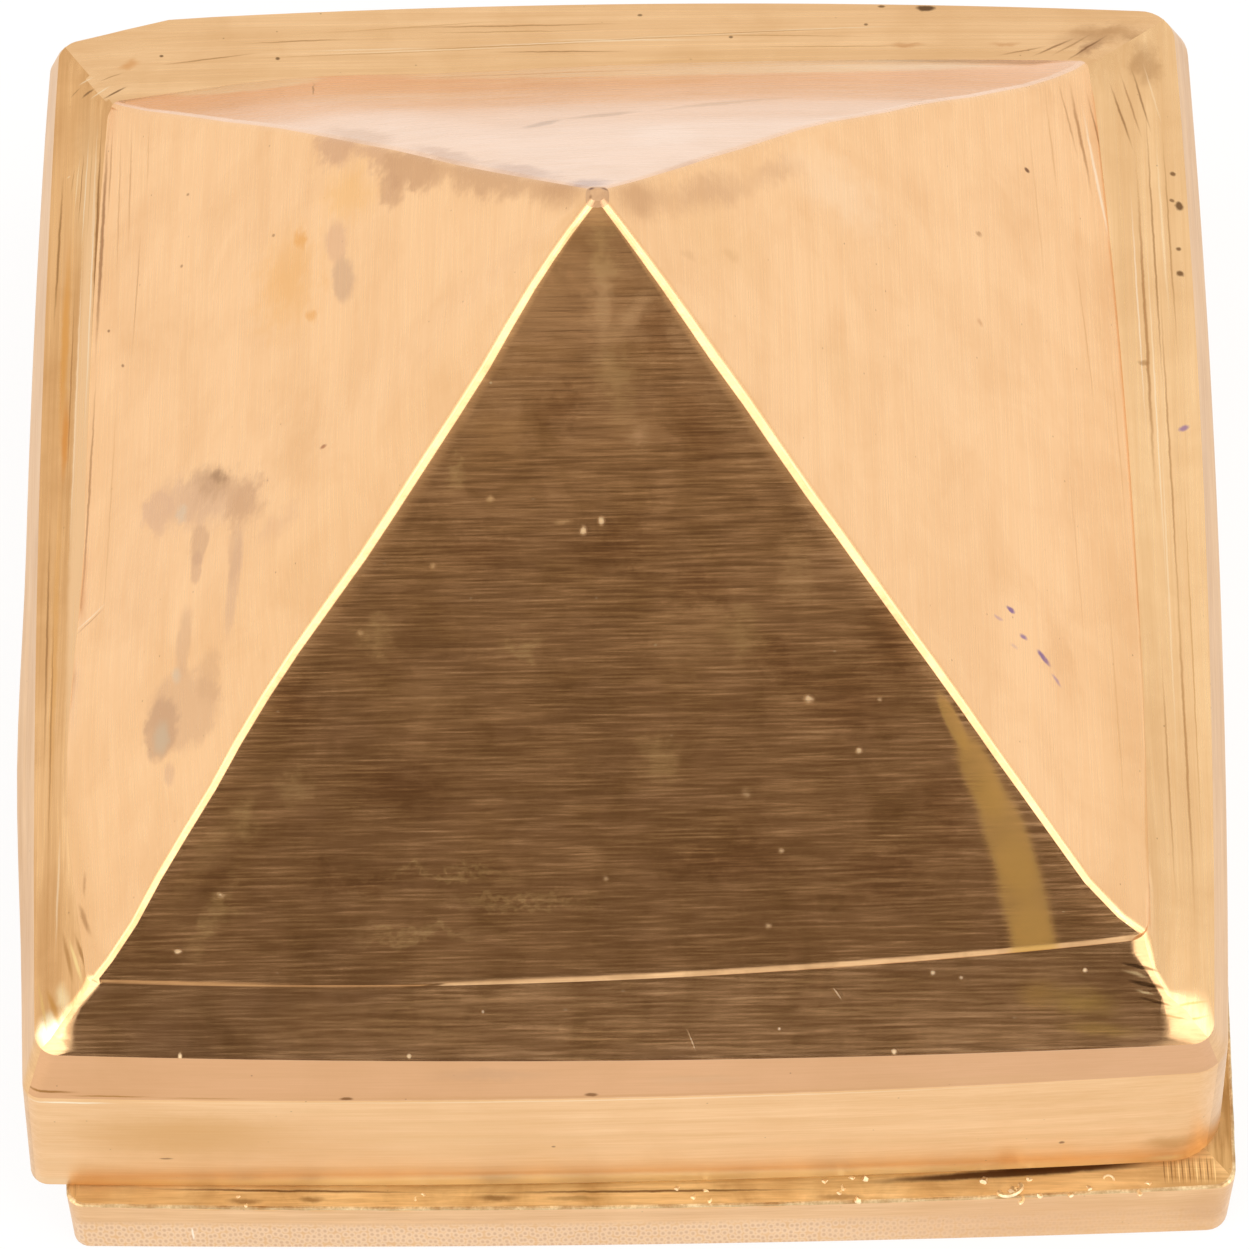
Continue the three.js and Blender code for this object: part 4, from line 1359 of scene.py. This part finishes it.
    def lines(self) -> list[Outline]:
        """Gives the cover's lines from the worn tip down the outside and up the inside of the hollow."""
        front_dip = self.crease.dips[0] - self.riser[1][2] * self.riser_dip
        face_foot = replace(
            self.crease.moved(self.riser, "face_foot"),
            dips=(front_dip,) + self.crease.dips[1:],
            touches=self.riser_touches,
        )
        full = replace(face_foot, radii=self.ridge_round)
        eases = ((x, y, -corner[2]) for (x, y), corner in zip(self.foot_eases, self.foot.corners))
        return [
            self.tip_top,
            self.tip,
            *(self.face_line(full, share) for share in self.face_shares),
            face_foot,
            self.crease,
            *(self.shoulder_line(*row) for row in self.shoulder_rounds),
            self.break_top,
            *(self.break_top.between(self.skirt_top, share, f"break_{share}") for share in self.break_shares),
            *(self.skirt_top.between(self.foot, share, f"skirt_{share}") for share in self.skirt_shares),
            self.foot,
            self.foot.moved(tuple(eases), "foot_under"),
            *(square(*row) for row in self.hollow),
        ]

    def build(self) -> bpy.types.Object:
        """Builds the cover as one closed casting.

        Returns:
            The cover, seated on the ledge.
        """
        cover = loft(self.lines(), self.side_cuts, self.corner_steps)
        self.dress(cover)
        return seat(cover, "brass_cover", COVER_PLACE, self.smooth_below)

    def finishes(self) -> dict[str, BrassFinish]:
        """Gives the finish of each region of the cover.

        Returns:
            The finish of each region, worked out from the way in which it was filed and brushed.
        """
        # brass brushed down the face: a broad rosy gleam with faint upright lines, and stains that dull it
        side = BrassFinish(
            "brushed_brass_left_face", "#fccd99", "#e2ab72", Lay.ALONG, COVER_PLACE,
            pitch=0.12, length=3.5, lines=0.14, bands=0.16, tarnish_share=0.42, cloud_size=4.0, roughness=0.24,
            marks=LEFT_FACE_MARKS,
        )
        # brass filed lengthways: coarse deep lines, so that the shoulder shows browner and striped
        band = replace(
            side, name="filed_brass_left_shoulder", colour="#f7c78f", tarnish="#bf8a52",
            pitch=0.15, length=9.0, lines=0.45, bands=0.5, groove=0.0015, marks=LEFT_SHOULDER_MARKS,
        )
        # brass brushed level and buffed nearly to a mirror: it shows the room's dark slot, and pale dust on it
        front = BrassFinish(
            "brushed_brass_front_face", "#f5c692", "#b98c5c", Lay.ACROSS, COVER_PLACE,
            pitch=0.11, length=3.0, lines=0.22, bands=0.3, tarnish_share=0.65, cloud_size=2.4,
            roughness=0.07, roughness_spread=0.17, pits=0.6, pit_colour="#ffe6bc", pit_scale=0.6,
            marks=FRONT_FACE_MARKS,
        )
        # brass filed level: short lines over broad strokes, with a dull satin gleam
        skirt = BrassFinish(
            "filed_brass_front_skirt", "#f8cb96", "#dba767", Lay.ACROSS, COVER_PLACE,
            pitch=0.1, length=4.0, lines=0.3, bands=0.35, tarnish_share=0.35, roughness=0.3,
            marks=FRONT_SKIRT_MARKS_AND_PAINTED_LIGHT,
        )
        return {
            "left_face": side,
            "right_face": replace(
                side, name="brushed_brass_right_face", colour="#fdcf9c", length=5.0, marks=RIGHT_FACE_MARKS
            ),
            "left_shoulder": band,
            "right_shoulder": replace(
                band, name="filed_brass_right_shoulder", colour="#ffd7a4", tarnish="#dcac76",
                marks=RIGHT_SHOULDER_MARKS,
            ),
            "front_face": front,
            # buffed with the face, a little less, so its mirror is softer
            "front_shoulder": replace(
                front, name="brushed_brass_front_shoulder", roughness=0.1, marks=FRONT_SHOULDER_MARKS
            ),
            # brushed level; turned from the lamps, its colour is painted paler and cooler than the sides to stand
            # for the light it gets
            "back_face": replace(
                side, name="brushed_brass_back_face", colour="#f8d1b2", tarnish="#e3b890", lay=Lay.ACROSS,
                lines=0.1, roughness=0.2, marks=BACK_FACE_MARKS,
            ),
            # filed level with long strokes, browner at the corners
            "back_shoulder": replace(
                band, name="filed_brass_back_shoulder", colour="#ffd6a6", tarnish="#deae78", lay=Lay.ACROSS,
                length=14.0, marks=BACK_SHOULDER_MARKS,
            ),
            "skirt_front": skirt,
            "skirt_left": replace(
                skirt, name="filed_brass_side_skirt", colour="#f0c48e", tarnish="#c69460", lay=Lay.ALONG,
                bands=0.4, marks=(),
            ),
            "skirt_back": replace(skirt, name="filed_brass_back_skirt", marks=()),
            # the steep break: a redder, darker strip over the bright skirt
            "break_front": replace(
                skirt, name="filed_brass_front_break", colour="#e2b083", tarnish="#cc9a68",
                lines=0.2, bands=0.2, marks=FRONT_BREAK_MARKS_AND_PAINTED_LIGHT,
            ),
            # worn brass without a direction: a small dull spot with dirt in its dents
            "tip": replace(
                side, name="worn_brass_tip", colour="#e6b98c", tarnish="#b98e6c", lay=Lay.CAST,
                pitch=0.2, lines=0.4, bands=0.5, roughness=0.35, marks=TIP_MARKS,
            ),
            # sand-cast brass, never filed: dull, brown and grainy
            "hollow": BrassFinish(
                "sand_cast_brass_hollow", "#c99a5c", "#8f6838", Lay.CAST, COVER_PLACE,
                pitch=0.35, lines=0.5, bands=0.3, roughness=0.5, groove=0.02, wave=0.06,
            ),
        }

    def dress(self, cover: bpy.types.Object) -> None:
        """Gives each region its finish by where its faces are and where they point."""

        def region(face: Any, line: str) -> str:
            """Names the region of a face by its lower line and the way it faces."""
            normal = face.normal
            sideways = abs(normal.x) > abs(normal.y)
            where = ("left" if normal.x < 0 else "right") if sideways else ("front" if normal.y < 0 else "back")
            if line in ("tip_top", "tip"):
                return "tip"
            if line.startswith("face") or line == "crease":
                return where + "_face"
            if line.startswith("shoulder") or line == "break_top":
                return where + "_shoulder"
            if line.startswith("break") or line == "skirt_top":
                return {"front": "break_front", "back": "skirt_back"}.get(where, "skirt_left")
            if line.startswith(("skirt", "foot")):
                return {"front": "skirt_front", "back": "skirt_back"}.get(where, "skirt_left")
            return "hollow"

        paint(cover, self.lines(), self.finishes(), region)


# The plate of nine small pyramids


@dataclass
class NinePyramidPlate:
    """The loose cast plate with three rows of three small pyramids.

    Attributes:
        thickness: its thickness under the pyramids.
        corner: its corner rounding.
        corner_steps: steps round each corner.
        border: the plain rim round the pyramids.
        pitch: from one small pyramid to the next.
        valley: the flat between two of them.
        step: how wide and how high the small cast step round each pyramid is.
        rise_share: a small pyramid's height as a share of its width.
        tip: the width of their flat tops.
        seat_height: where the plate lies.
        middle: where its middle is.
        smooth_below: the angle in degrees below which two faces look like one round one.
    """

    thickness: float = 1.8
    corner: float = 1.5
    corner_steps: int = 6
    border: float = 0.9
    pitch: float = 13.2
    valley: float = 0.5
    step: Pair = (0.12, 0.05)
    rise_share: float = 0.62
    tip: float = 0.3
    seat_height: float = 6.0
    middle: Pair = (-0.8, 0.55)
    smooth_below: float = 32.0

    def tile(self) -> bpy.types.Object:
        """Makes one small pyramid on its square of the plate.

        Returns:
            The tile, with its square at the plate's thickness.
        """
        bpy.ops.object.select_all(action="DESELECT")
        bpy.ops.mesh.primitive_plane_add(size=self.pitch, location=(0.0, 0.0, self.thickness))
        tile = bpy.context.object
        open_mesh(tile)
        bpy.ops.mesh.select_all(action="SELECT")
        foot = self.pitch - self.valley
        step_width, step_rise = self.step
        flank = ((foot - 2 * step_width - self.tip) / 2, foot * self.rise_share - step_rise)
        for width, depth in ((self.valley / 2, 0.0), self.step, flank):
            bpy.ops.mesh.inset(thickness=width, depth=depth)
        close_mesh()
        return tile

    def build(self) -> bpy.types.Object:
        """Builds the plate from nine copies of the tile, a rim and its sides.

        Returns:
            The plate, seated on the base plate's boss.
        """
        first = self.tile()
        tiles = [first]
        for row in (-1, 0, 1):
            for column in (-1, 0, 1):
                if row or column:
                    tiles.append(copy_of(first))
                    tiles[-1].location = (column * self.pitch, row * self.pitch, self.thickness)
        plate = join(tiles)
        bpy.ops.object.transform_apply(location=True, rotation=True, scale=True)
        open_mesh(plate)
        bpy.ops.mesh.select_all(action="SELECT")
        bpy.ops.mesh.remove_doubles(threshold=CLOSE)
        field_half = self.pitch * 1.5
        half = field_half + self.border

        def on_rim(edge: Any) -> bool:
            """Says whether an edge is on the open rim."""
            return edge.is_boundary

        pick(plate, Element.EDGE, on_rim)
        bpy.ops.mesh.extrude_edges_move()
        grow = half / field_half
        bpy.ops.transform.resize(value=(grow, grow, 1.0), center_override=(0.0, 0.0, self.thickness))
        pick(plate, Element.EDGE, on_rim)
        bpy.ops.mesh.extrude_edges_move(TRANSFORM_OT_translate={"value": (0.0, 0.0, -self.thickness)})
        pick(plate, Element.EDGE, on_rim)
        bpy.ops.mesh.edge_face_add()
        pick(
            plate,
            Element.EDGE,
            lambda edge: all(abs(abs(part) - half) < CLOSE for v in edge.verts for part in (v.co.x, v.co.y)),
        )
        bpy.ops.mesh.bevel(offset=self.corner, segments=self.corner_steps, affect="EDGES")
        turn_outwards()
        plate.data.materials.append(self.finish().build())
        return seat(plate, "brass_nine_pyramids", (*self.middle, self.seat_height), self.smooth_below)

    def finish(self) -> BrassFinish:
        """Gives the plate's finish."""
        # cast brass that was only brushed over: a duller yellow, blotched, with the sand's grain under the lines
        return BrassFinish(
            "cast_brass_lightly_brushed", "#dcae6c", "#a97d45", Lay.ACROSS,
            pitch=0.16, length=2.0, lines=0.4, bands=0.35, tarnish_share=0.5, roughness=0.34, groove=0.002,
        )


# The base plate


@dataclass
class BasePlate:
    """The slab under the cover, with its milled ledge, raised boss and filed edges.

    Attributes:
        side_cuts: points along each side of each line.
        corner_steps: steps round each corner.
        smooth_below: the angle in degrees below which two faces look like one round one.
        foot: the lowest edge.
        foot_ease: how far the underside's edge is eased in.
        edge_shares: the filed edge's lines, as shares of the way from the foot to the ledge.
        ledge: the outer edge of the milled ledge.
        rims: the lines of the burr on it: name, how far in and how far up each lies.
        boss_half: half the boss's width.
        boss_foot: how far the boss's foot stands over the ledge's edge.
        boss_height: how far the boss stands over that.
        boss_ease: how far its upper edge is eased.
        boss_corner: its corner rounding.
        boss_middle: where its middle is.
        burrs: the lines that the cutter tore: name, how far, and the seed of the unevenness.
        curl: a shaving's radius and half its thickness.
        curl_steps: steps round a shaving, and round its section.
        curl_cut: where the ring is cut off, from its middle.
        curl_squash: how much the ring is flattened each way.
        curl_lift: how far over the ledge's edge a shaving's middle lies.
        shavings: where each shaving clings: across, along, turn, tilt and size.
    """

    side_cuts: int = 119
    corner_steps: int = 6
    smooth_below: float = 30.0
    foot: Outline = Outline(
        "plate_foot",
        ((-24.1, -25.66, 0.15), (24.42, -25.36, 0.15), (24.3, 25.1, 0.15), (-24.3, 25.1, 0.15)),
        (0.7, 0.9, 1.0, 0.9),
        (0.28, 0.12, 0.4, 0.65),
    )
    foot_ease: float = 0.13
    edge_shares: tuple[float, ...] = (0.05, 0.5, 0.95)
    ledge: Outline = Outline(
        "ledge_edge",
        ((-24.1, -25.5, 4.42), (24.5, -25.1, 4.42), (24.3, 25.1, 4.42), (-24.3, 25.1, 4.42)),
        (0.7, 0.8, 1.0, 0.9),
        (0.48, 0.1, 0.4, 0.68),
    )
    rims: tuple[tuple[str, float, float], ...] = (("ledge_top", 0.06, 0.074), ("ledge_inner", 0.14, 0.077))
    boss_half: float = 21.2
    boss_foot: float = 0.08
    boss_height: float = 1.5
    boss_ease: float = 0.25
    boss_corner: float = 2.0
    boss_middle: Pair = (-0.8, 0.55)
    burrs: tuple[tuple[str, float, int], ...] = (("ledge_edge", 0.015, 4), ("ledge_top", 0.03, 9))
    curl: Pair = (0.27, 0.07)
    curl_steps: tuple[int, int] = (18, 6)
    curl_cut: float = -0.05
    curl_squash: Point = (1.0, 0.8, 0.7)
    curl_lift: float = 0.09
    shavings: tuple[tuple[float, float, float, float, float], ...] = (
        (14.6, -24.95, 20.0, 35.0, 2.4),
        (15.1, -25.1, 160.0, -30.0, 1.8),
        (15.4, -25.4, 75.0, 30.0, 1.2),
        (16.1, -25.05, 60.0, 35.0, 1.6),
        (18.0, -25.25, -20.0, 30.0, 1.6),
        (19.2, -24.7, 10.0, 0.0, 0.8),
        (8.9, -25.05, 110.0, 35.0, 1.9),
        (7.7, -24.95, 40.0, 30.0, 1.5),
        (8.4, -24.8, -50.0, 20.0, 1.2),
        (1.6, -25.15, 30.0, 30.0, 1.5),
        (2.5, -25.3, 70.0, 20.0, 1.0),
        (-9.4, -25.25, -30.0, 20.0, 0.8),
        (-16.8, -25.35, 50.0, 30.0, 1.0),
        (20.7, -25.15, -50.0, 20.0, 1.2),
    )

    def lines(self) -> list[Outline]:
        """Gives the plate's lines from its underside to the boss's top."""
        foot, ledge = self.foot, self.ledge
        boss_foot = ledge.corners[0][2] + self.boss_foot
        boss_top = boss_foot + self.boss_height
        # each line stands a hair over the last, so that they are bridged the right way round
        return [
            foot.drawn_in(self.foot_ease, -foot.corners[0][2], "plate_under"),
            foot,
            *(foot.between(ledge, share, f"edge_{share}") for share in self.edge_shares),
            ledge,
            *(ledge.drawn_in(amount, rise, name) for name, amount, rise in self.rims),
            square("boss_foot", self.boss_half, boss_foot, self.boss_corner, self.boss_middle),
            square("boss_wall", self.boss_half, boss_top - self.boss_ease, self.boss_corner, self.boss_middle),
            square(
                "boss_top", self.boss_half - self.boss_ease, boss_top, self.boss_corner - self.boss_ease,
                self.boss_middle,
            ),
        ]

    def build(self) -> bpy.types.Object:
        """Builds the plate as one closed slab, with its shavings.

        Returns:
            The plate, standing on the floor.
        """
        plate = loft(self.lines(), self.side_cuts, self.corner_steps)
        self.raise_burr(plate)
        self.dress(plate)
        plate = join([plate, *self.lay_shavings()])
        return seat(plate, "brass_base_plate", (0.0, 0.0, 0.0), self.smooth_below)

    def raise_burr(self, plate: bpy.types.Object) -> None:
        """Roughens the ledge's outer edge, where the cutter left a thin burr."""
        open_mesh(plate)
        for name, amount, seed in self.burrs:
            pick_lines(name)
            bpy.ops.transform.vertex_random(offset=amount, uniform=0.5, normal=0.0, seed=seed)
        close_mesh()

    def shaving(self) -> bpy.types.Object:
        """Makes one curled shaving.

        Returns:
            A little more than half a ring of thin metal, closed at its ends.
        """
        bpy.ops.object.select_all(action="DESELECT")
        bpy.ops.mesh.primitive_torus_add(
            major_segments=self.curl_steps[0],
            minor_segments=self.curl_steps[1],
            major_radius=self.curl[0],
            minor_radius=self.curl[1],
            location=(0.0, 0.0, 0.0),
        )
        curl = bpy.context.object
        open_mesh(curl)
        bpy.ops.mesh.select_all(action="SELECT")
        bpy.ops.mesh.bisect(
            plane_co=(0.0, self.curl_cut, 0.0), plane_no=(0.0, 1.0, 0.0), clear_inner=True, use_fill=True
        )
        bpy.ops.mesh.select_all(action="SELECT")
        bpy.ops.transform.resize(value=self.curl_squash, center_override=(0.0, 0.0, 0.0))
        turn_outwards()
        curl.data.materials.append(bpy.data.materials["curled_brass_shaving"])
        return curl

    def lay_shavings(self) -> list[bpy.types.Object]:
        """Lays the shavings that still cling to the front of the ledge.

        Returns:
            The shavings, each in its place.
        """
        first = self.shaving()
        curls = [first] + [copy_of(first) for _ in self.shavings[1:]]
        middle = (0.0, 0.0, 0.0)
        for curl, (x, y, turn, tilt, size) in zip(curls, self.shavings):
            activate(curl)
            bpy.ops.transform.resize(value=(size, size, size), center_override=middle)
            for angle, axis in ((tilt, "X"), (turn, "Z")):
                bpy.ops.transform.rotate(value=math.radians(angle), orient_axis=axis, center_override=middle)
            bpy.ops.transform.translate(value=(x, y, self.ledge.corners[0][2] + self.curl_lift))
            bpy.ops.object.transform_apply(location=True, rotation=True, scale=True)
        return curls

    def finishes(self) -> dict[str, BrassFinish]:
        """Gives the finish of each region of the plate.

        Returns:
            The finish of each region, and that of the shavings.
        """
        # brass cut with a cross-cut file: rows of small bites along the lower half, painted with pale highlights
        # and shade
        filed = BrassFinish(
            "filed_brass_plate_edge_front", "#f4c690", "#cf9a5c", Lay.ACROSS,
            pitch=0.1, length=3.0, lines=0.4, bands=0.4, tarnish_share=0.3, roughness=0.28, teeth=0.5,
            marks=PLATE_EDGE_MARKS,
        )
        # milled brass: the cutter's short marks break its mirror up, so it shows as a bright, speckled strip
        milled = BrassFinish(
            "milled_brass_ledge_front", "#f0ca90", "#ae844c", Lay.ACROSS,
            pitch=0.12, length=2.5, lines=0.5, bands=0.5, tarnish_share=0.6, cloud_size=2.0, roughness=0.55,
            marks=LEDGE_MARKS_AND_PAINTED_SHADOW,
        )
        # brass torn by the cutter as it left the metal: it glitters in pale and dark points
        burr = BrassFinish(
            "torn_brass_burr", "#f8dfb0", "#a87a44", Lay.CAST,
            pitch=0.14, lines=0.6, bands=0.8, tarnish_share=0.45, cloud_size=1.2, roughness=0.4,
            groove=0.01, pits=0.0,
        )
        return {
            "edge_front": filed,
            "edge_side": replace(
                filed, name="filed_brass_plate_edge_side", lay=Lay.ALONG, teeth=0.0, marks=()
            ),
            "edge_back": replace(filed, name="filed_brass_plate_edge_back", teeth=0.4, marks=()),
            "top_front": milled,
            "top_side": replace(
                milled, name="milled_brass_ledge_side", lay=Lay.ALONG, pitch=0.16, lines=0.8, marks=()
            ),
            "burr": burr,
            # freshly cut metal, paler than all the rest
            "shaving": replace(
                burr, name="curled_brass_shaving", colour="#fff2d2", tarnish="#e6bf84",
                bands=0.3, tarnish_share=0.2, roughness=0.5,
            ),
        }

    def dress(self, plate: bpy.types.Object) -> None:
        """Gives the milled ledge, the filed edges and the boss their finishes."""
        rims = [name for name, _, _ in self.rims]

        def region(face: Any, line: str) -> str:
            """Names the region of a face by its upper line and the way it faces."""
            if line in rims:
                return "burr"
            middle, normal = face.calc_center_median(), face.normal
            if abs(normal.z) > 0.6:
                return "top_side" if abs(middle.x) > abs(middle.y) else "top_front"
            if abs(normal.x) > abs(normal.y):
                return "edge_side"
            return "edge_front" if normal.y < 0 else "edge_back"

        paint(plate, self.lines(), self.finishes(), region)


# The studio


@dataclass(frozen=True)
class SoftBox:
    """One soft lamp that draws light lines along the ridges.

    Attributes:
        name: the lamp's name.
        way: the way in which it stands from the object.
        width: its width, in metres.
        height: its height.
        radiance: how bright its cloth is, where 1 is white paper.
    """

    name: str
    way: Point
    width: float
    height: float
    radiance: float


@dataclass
class Studio:
    """The white table, the white room round it and the lamps.

    Attributes:
        floor_half: half the floor's width, in metres.
        floor_glow: how much of the floor's white comes from itself, where the camera or the metal sees it.
        wall_light: the light from the walls, linear.
        ceiling_light: the light from above.
        slot_light: the light from the dark slot in front.
        sleeve_light: the light from the paler thing in that slot.
        box_distance: how far away the soft boxes stand, in metres.
        boxes: the soft boxes.
        camera_place: where the camera stands, in metres.
        elevation: how steeply it looks down, in degrees.
        yaw: how far it is turned about the upright axis, in degrees.
        roll: how far it is tilted, in degrees.
        lens: its lens, in millimetres on its sensor.
        sensor: the sensor's width, in millimetres.
    """

    floor_half: float = 3.0
    floor_glow: float = 0.88
    wall_light: Colour = (0.9, 0.86, 0.8, 1.0)
    ceiling_light: Colour = (1.0, 1.0, 1.0, 1.0)
    slot_light: Colour = (0.165, 0.125, 0.1, 1.0)
    sleeve_light: Colour = (0.66, 0.56, 0.45, 1.0)
    box_distance: float = 0.9
    boxes: tuple[SoftBox, ...] = (
        SoftBox("left_front_box", (-0.72, -0.68, 0.29), 1.1, 0.62, 1.5),
        SoftBox("right_front_box", (0.72, -0.68, 0.29), 1.1, 0.62, 1.5),
        SoftBox("left_top_box", (-0.56, -0.2, 0.8), 0.72, 0.72, 1.35),
        SoftBox("right_top_box", (0.56, -0.2, 0.8), 0.72, 0.72, 1.35),
    )
    camera_place: Point = (0.0010045, -0.1316086, 0.2874828)
    elevation: float = 64.90
    yaw: float = -0.76
    roll: float = -1.21
    lens: float = 209.28
    sensor: float = 36.0

    def build(self) -> None:
        """Sets up the floor, the room, the lamps and the camera."""
        self.lay_floor()
        self.light_room()
        for box in self.boxes:
            self.set_lamp(box)
        self.aim_camera()
        bpy.context.scene.view_settings.view_transform = "Standard"

    def lay_floor(self) -> None:
        """Lays the plain pale floor, which shows near white with the object's soft shadow."""
        bpy.ops.object.select_all(action="DESELECT")
        bpy.ops.mesh.primitive_plane_add(size=self.floor_half * 2, location=(0.0, 0.0, 0.0))
        floor = bpy.context.object
        floor.name = "studio_floor"
        material = bpy.data.materials.new("matt_white_paper")
        tree = empty_tree(material)
        paper = add_node(tree, "ShaderNodeBsdfDiffuse", {"Color": linear("#f6f5f2")})
        glow = add_node(tree, "ShaderNodeEmission", {"Color": linear("#ffffff"), "Strength": 1.0})
        seen = add_node(tree, "ShaderNodeLightPath")
        direct = seen.outputs["Is Camera Ray"]
        for ray in ("Is Glossy Ray", "Is Transmission Ray"):
            direct = add_node(
                tree, "ShaderNodeMath", {0: direct, 1: seen.outputs[ray]}, operation="MAXIMUM"
            ).outputs[0]
        share = add_node(tree, "ShaderNodeMath", {0: direct, 1: self.floor_glow}, operation="MULTIPLY")
        mix = add_node(
            tree, "ShaderNodeMixShader", {0: share.outputs[0], 1: paper.outputs[0], 2: glow.outputs[0]}
        )
        add_node(tree, "ShaderNodeOutputMaterial", {"Surface": mix.outputs[0]})
        floor.data.materials.append(material)

    def light_room(self) -> None:
        """Makes the room white, a little darker low on its walls, with a dark slot in front."""
        world = bpy.data.worlds.new("white_room")
        bpy.context.scene.world = world
        tree = empty_tree(world)
        way = add_node(tree, "ShaderNodeTexCoord").outputs["Generated"]
        parts = add_node(tree, "ShaderNodeSeparateXYZ", {0: way})
        x, y, z = (parts.outputs[index] for index in range(3))
        # each edge in the room is a part of the way, where it starts, where it ends, and how it blends
        rise, left, right, front, over, sleeve, under_sky = (
            add_node(
                tree,
                "ShaderNodeMapRange",
                {"Value": part, "From Min": start, "From Max": end},
                interpolation_type=blend,
            ).outputs[0]
            for part, start, end, blend in (
                (z, 0.5, 0.85, "SMOOTHSTEP"),
                (x, -0.3, -0.2, "SMOOTHSTEP"),
                (x, 0.3, 0.2, "SMOOTHSTEP"),
                (y, -0.1, -0.2, "LINEAR"),
                (z, 0.02, 0.06, "LINEAR"),
                (z, 0.238, 0.268, "SMOOTHSTEP"),
                (z, 0.6, 0.4, "SMOOTHSTEP"),
            )
        )
        slot = left
        for part in (right, front, over):
            slot = add_node(tree, "ShaderNodeMath", {0: slot, 1: part}, operation="MULTIPLY").outputs[0]
        # the photographer's paler sleeve lies a little over what the front face mirrors
        pale = add_node(tree, "ShaderNodeMath", {0: sleeve, 1: under_sky}, operation="MULTIPLY").outputs[0]
        walls, dark = (
            add_node(tree, "ShaderNodeMix", lights, data_type="RGBA").outputs["Result"]
            for lights in (
                {"Factor": rise, "A": self.wall_light, "B": self.ceiling_light},
                {"Factor": pale, "A": self.slot_light, "B": self.sleeve_light},
            )
        )
        room = add_node(
            tree, "ShaderNodeMix", {"Factor": slot, "A": walls, "B": dark}, data_type="RGBA"
        ).outputs["Result"]
        seen = add_node(tree, "ShaderNodeLightPath").outputs["Is Camera Ray"]
        shown = add_node(
            tree, "ShaderNodeMix", {"Factor": seen, "A": room, "B": linear("#ffffff")}, data_type="RGBA"
        ).outputs["Result"]
        light = add_node(tree, "ShaderNodeBackground", {"Color": shown, "Strength": 1.0})
        add_node(tree, "ShaderNodeOutputWorld", {"Surface": light.outputs[0]})

    def set_lamp(self, box: SoftBox) -> None:
        """Sets up one soft box, turned to the object."""
        light = bpy.data.lights.new(box.name, "AREA")
        light.shape = "RECTANGLE"
        light.size = box.width
        light.size_y = box.height
        light.energy = box.radiance * box.width * box.height * math.pi
        lamp = bpy.data.objects.new(box.name, light)
        bpy.context.collection.objects.link(lamp)
        lamp.location = Vector(box.way).normalized() * self.box_distance
        lamp.rotation_euler = (-lamp.location).to_track_quat("-Z", "Y").to_euler()
        lamp.visible_camera = False

    def aim_camera(self) -> None:
        """Puts the camera where the photograph was taken from."""
        tilt, yaw, roll = (math.radians(value) for value in (self.elevation, self.yaw, self.roll))
        across = Vector((math.cos(yaw), -math.sin(yaw), 0.0))
        ahead = Vector((math.sin(yaw), math.cos(yaw), 0.0))
        up = ahead * math.sin(tilt) + Vector((0.0, 0.0, math.cos(tilt)))
        forward = ahead * math.cos(tilt) - Vector((0.0, 0.0, math.sin(tilt)))
        right = across * math.cos(roll) + up * math.sin(roll)
        top = up * math.cos(roll) - across * math.sin(roll)
        data = bpy.data.cameras.new("photo_camera")
        data.lens = self.lens
        data.sensor_width = self.sensor
        data.clip_start, data.clip_end = 0.01, 20.0
        camera = bpy.data.objects.new("photo_camera", data)
        bpy.context.collection.objects.link(camera)
        turn = Matrix((right, top, -forward)).transposed()
        camera.matrix_world = Matrix.Translation(Vector(self.camera_place)) @ turn.to_4x4()
        bpy.context.scene.camera = camera


def main() -> None:
    """Builds and dresses the pieces in the order in which they are stacked."""
    logging.basicConfig(level=logging.INFO, format="%(name)s %(message)s")
    work = (
        (BasePlate(), "base_plate", "base", "base_brass"),
        (NinePyramidPlate(), "nine_pyramid_plate", "small_pyramids", "small_pyramid_brass"),
        (PyramidCover(), "pyramid_cover", "cover", "cover_brass"),
    )
    for maker, node, body, slot in work:
        piece = maker.build()
        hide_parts(node)
        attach(piece, body)
        LOG.info("%s: %d faces, rides on %s", piece.name, len(piece.data.polygons), body)
    Studio().build()


if __name__ == "__main__":
    main()
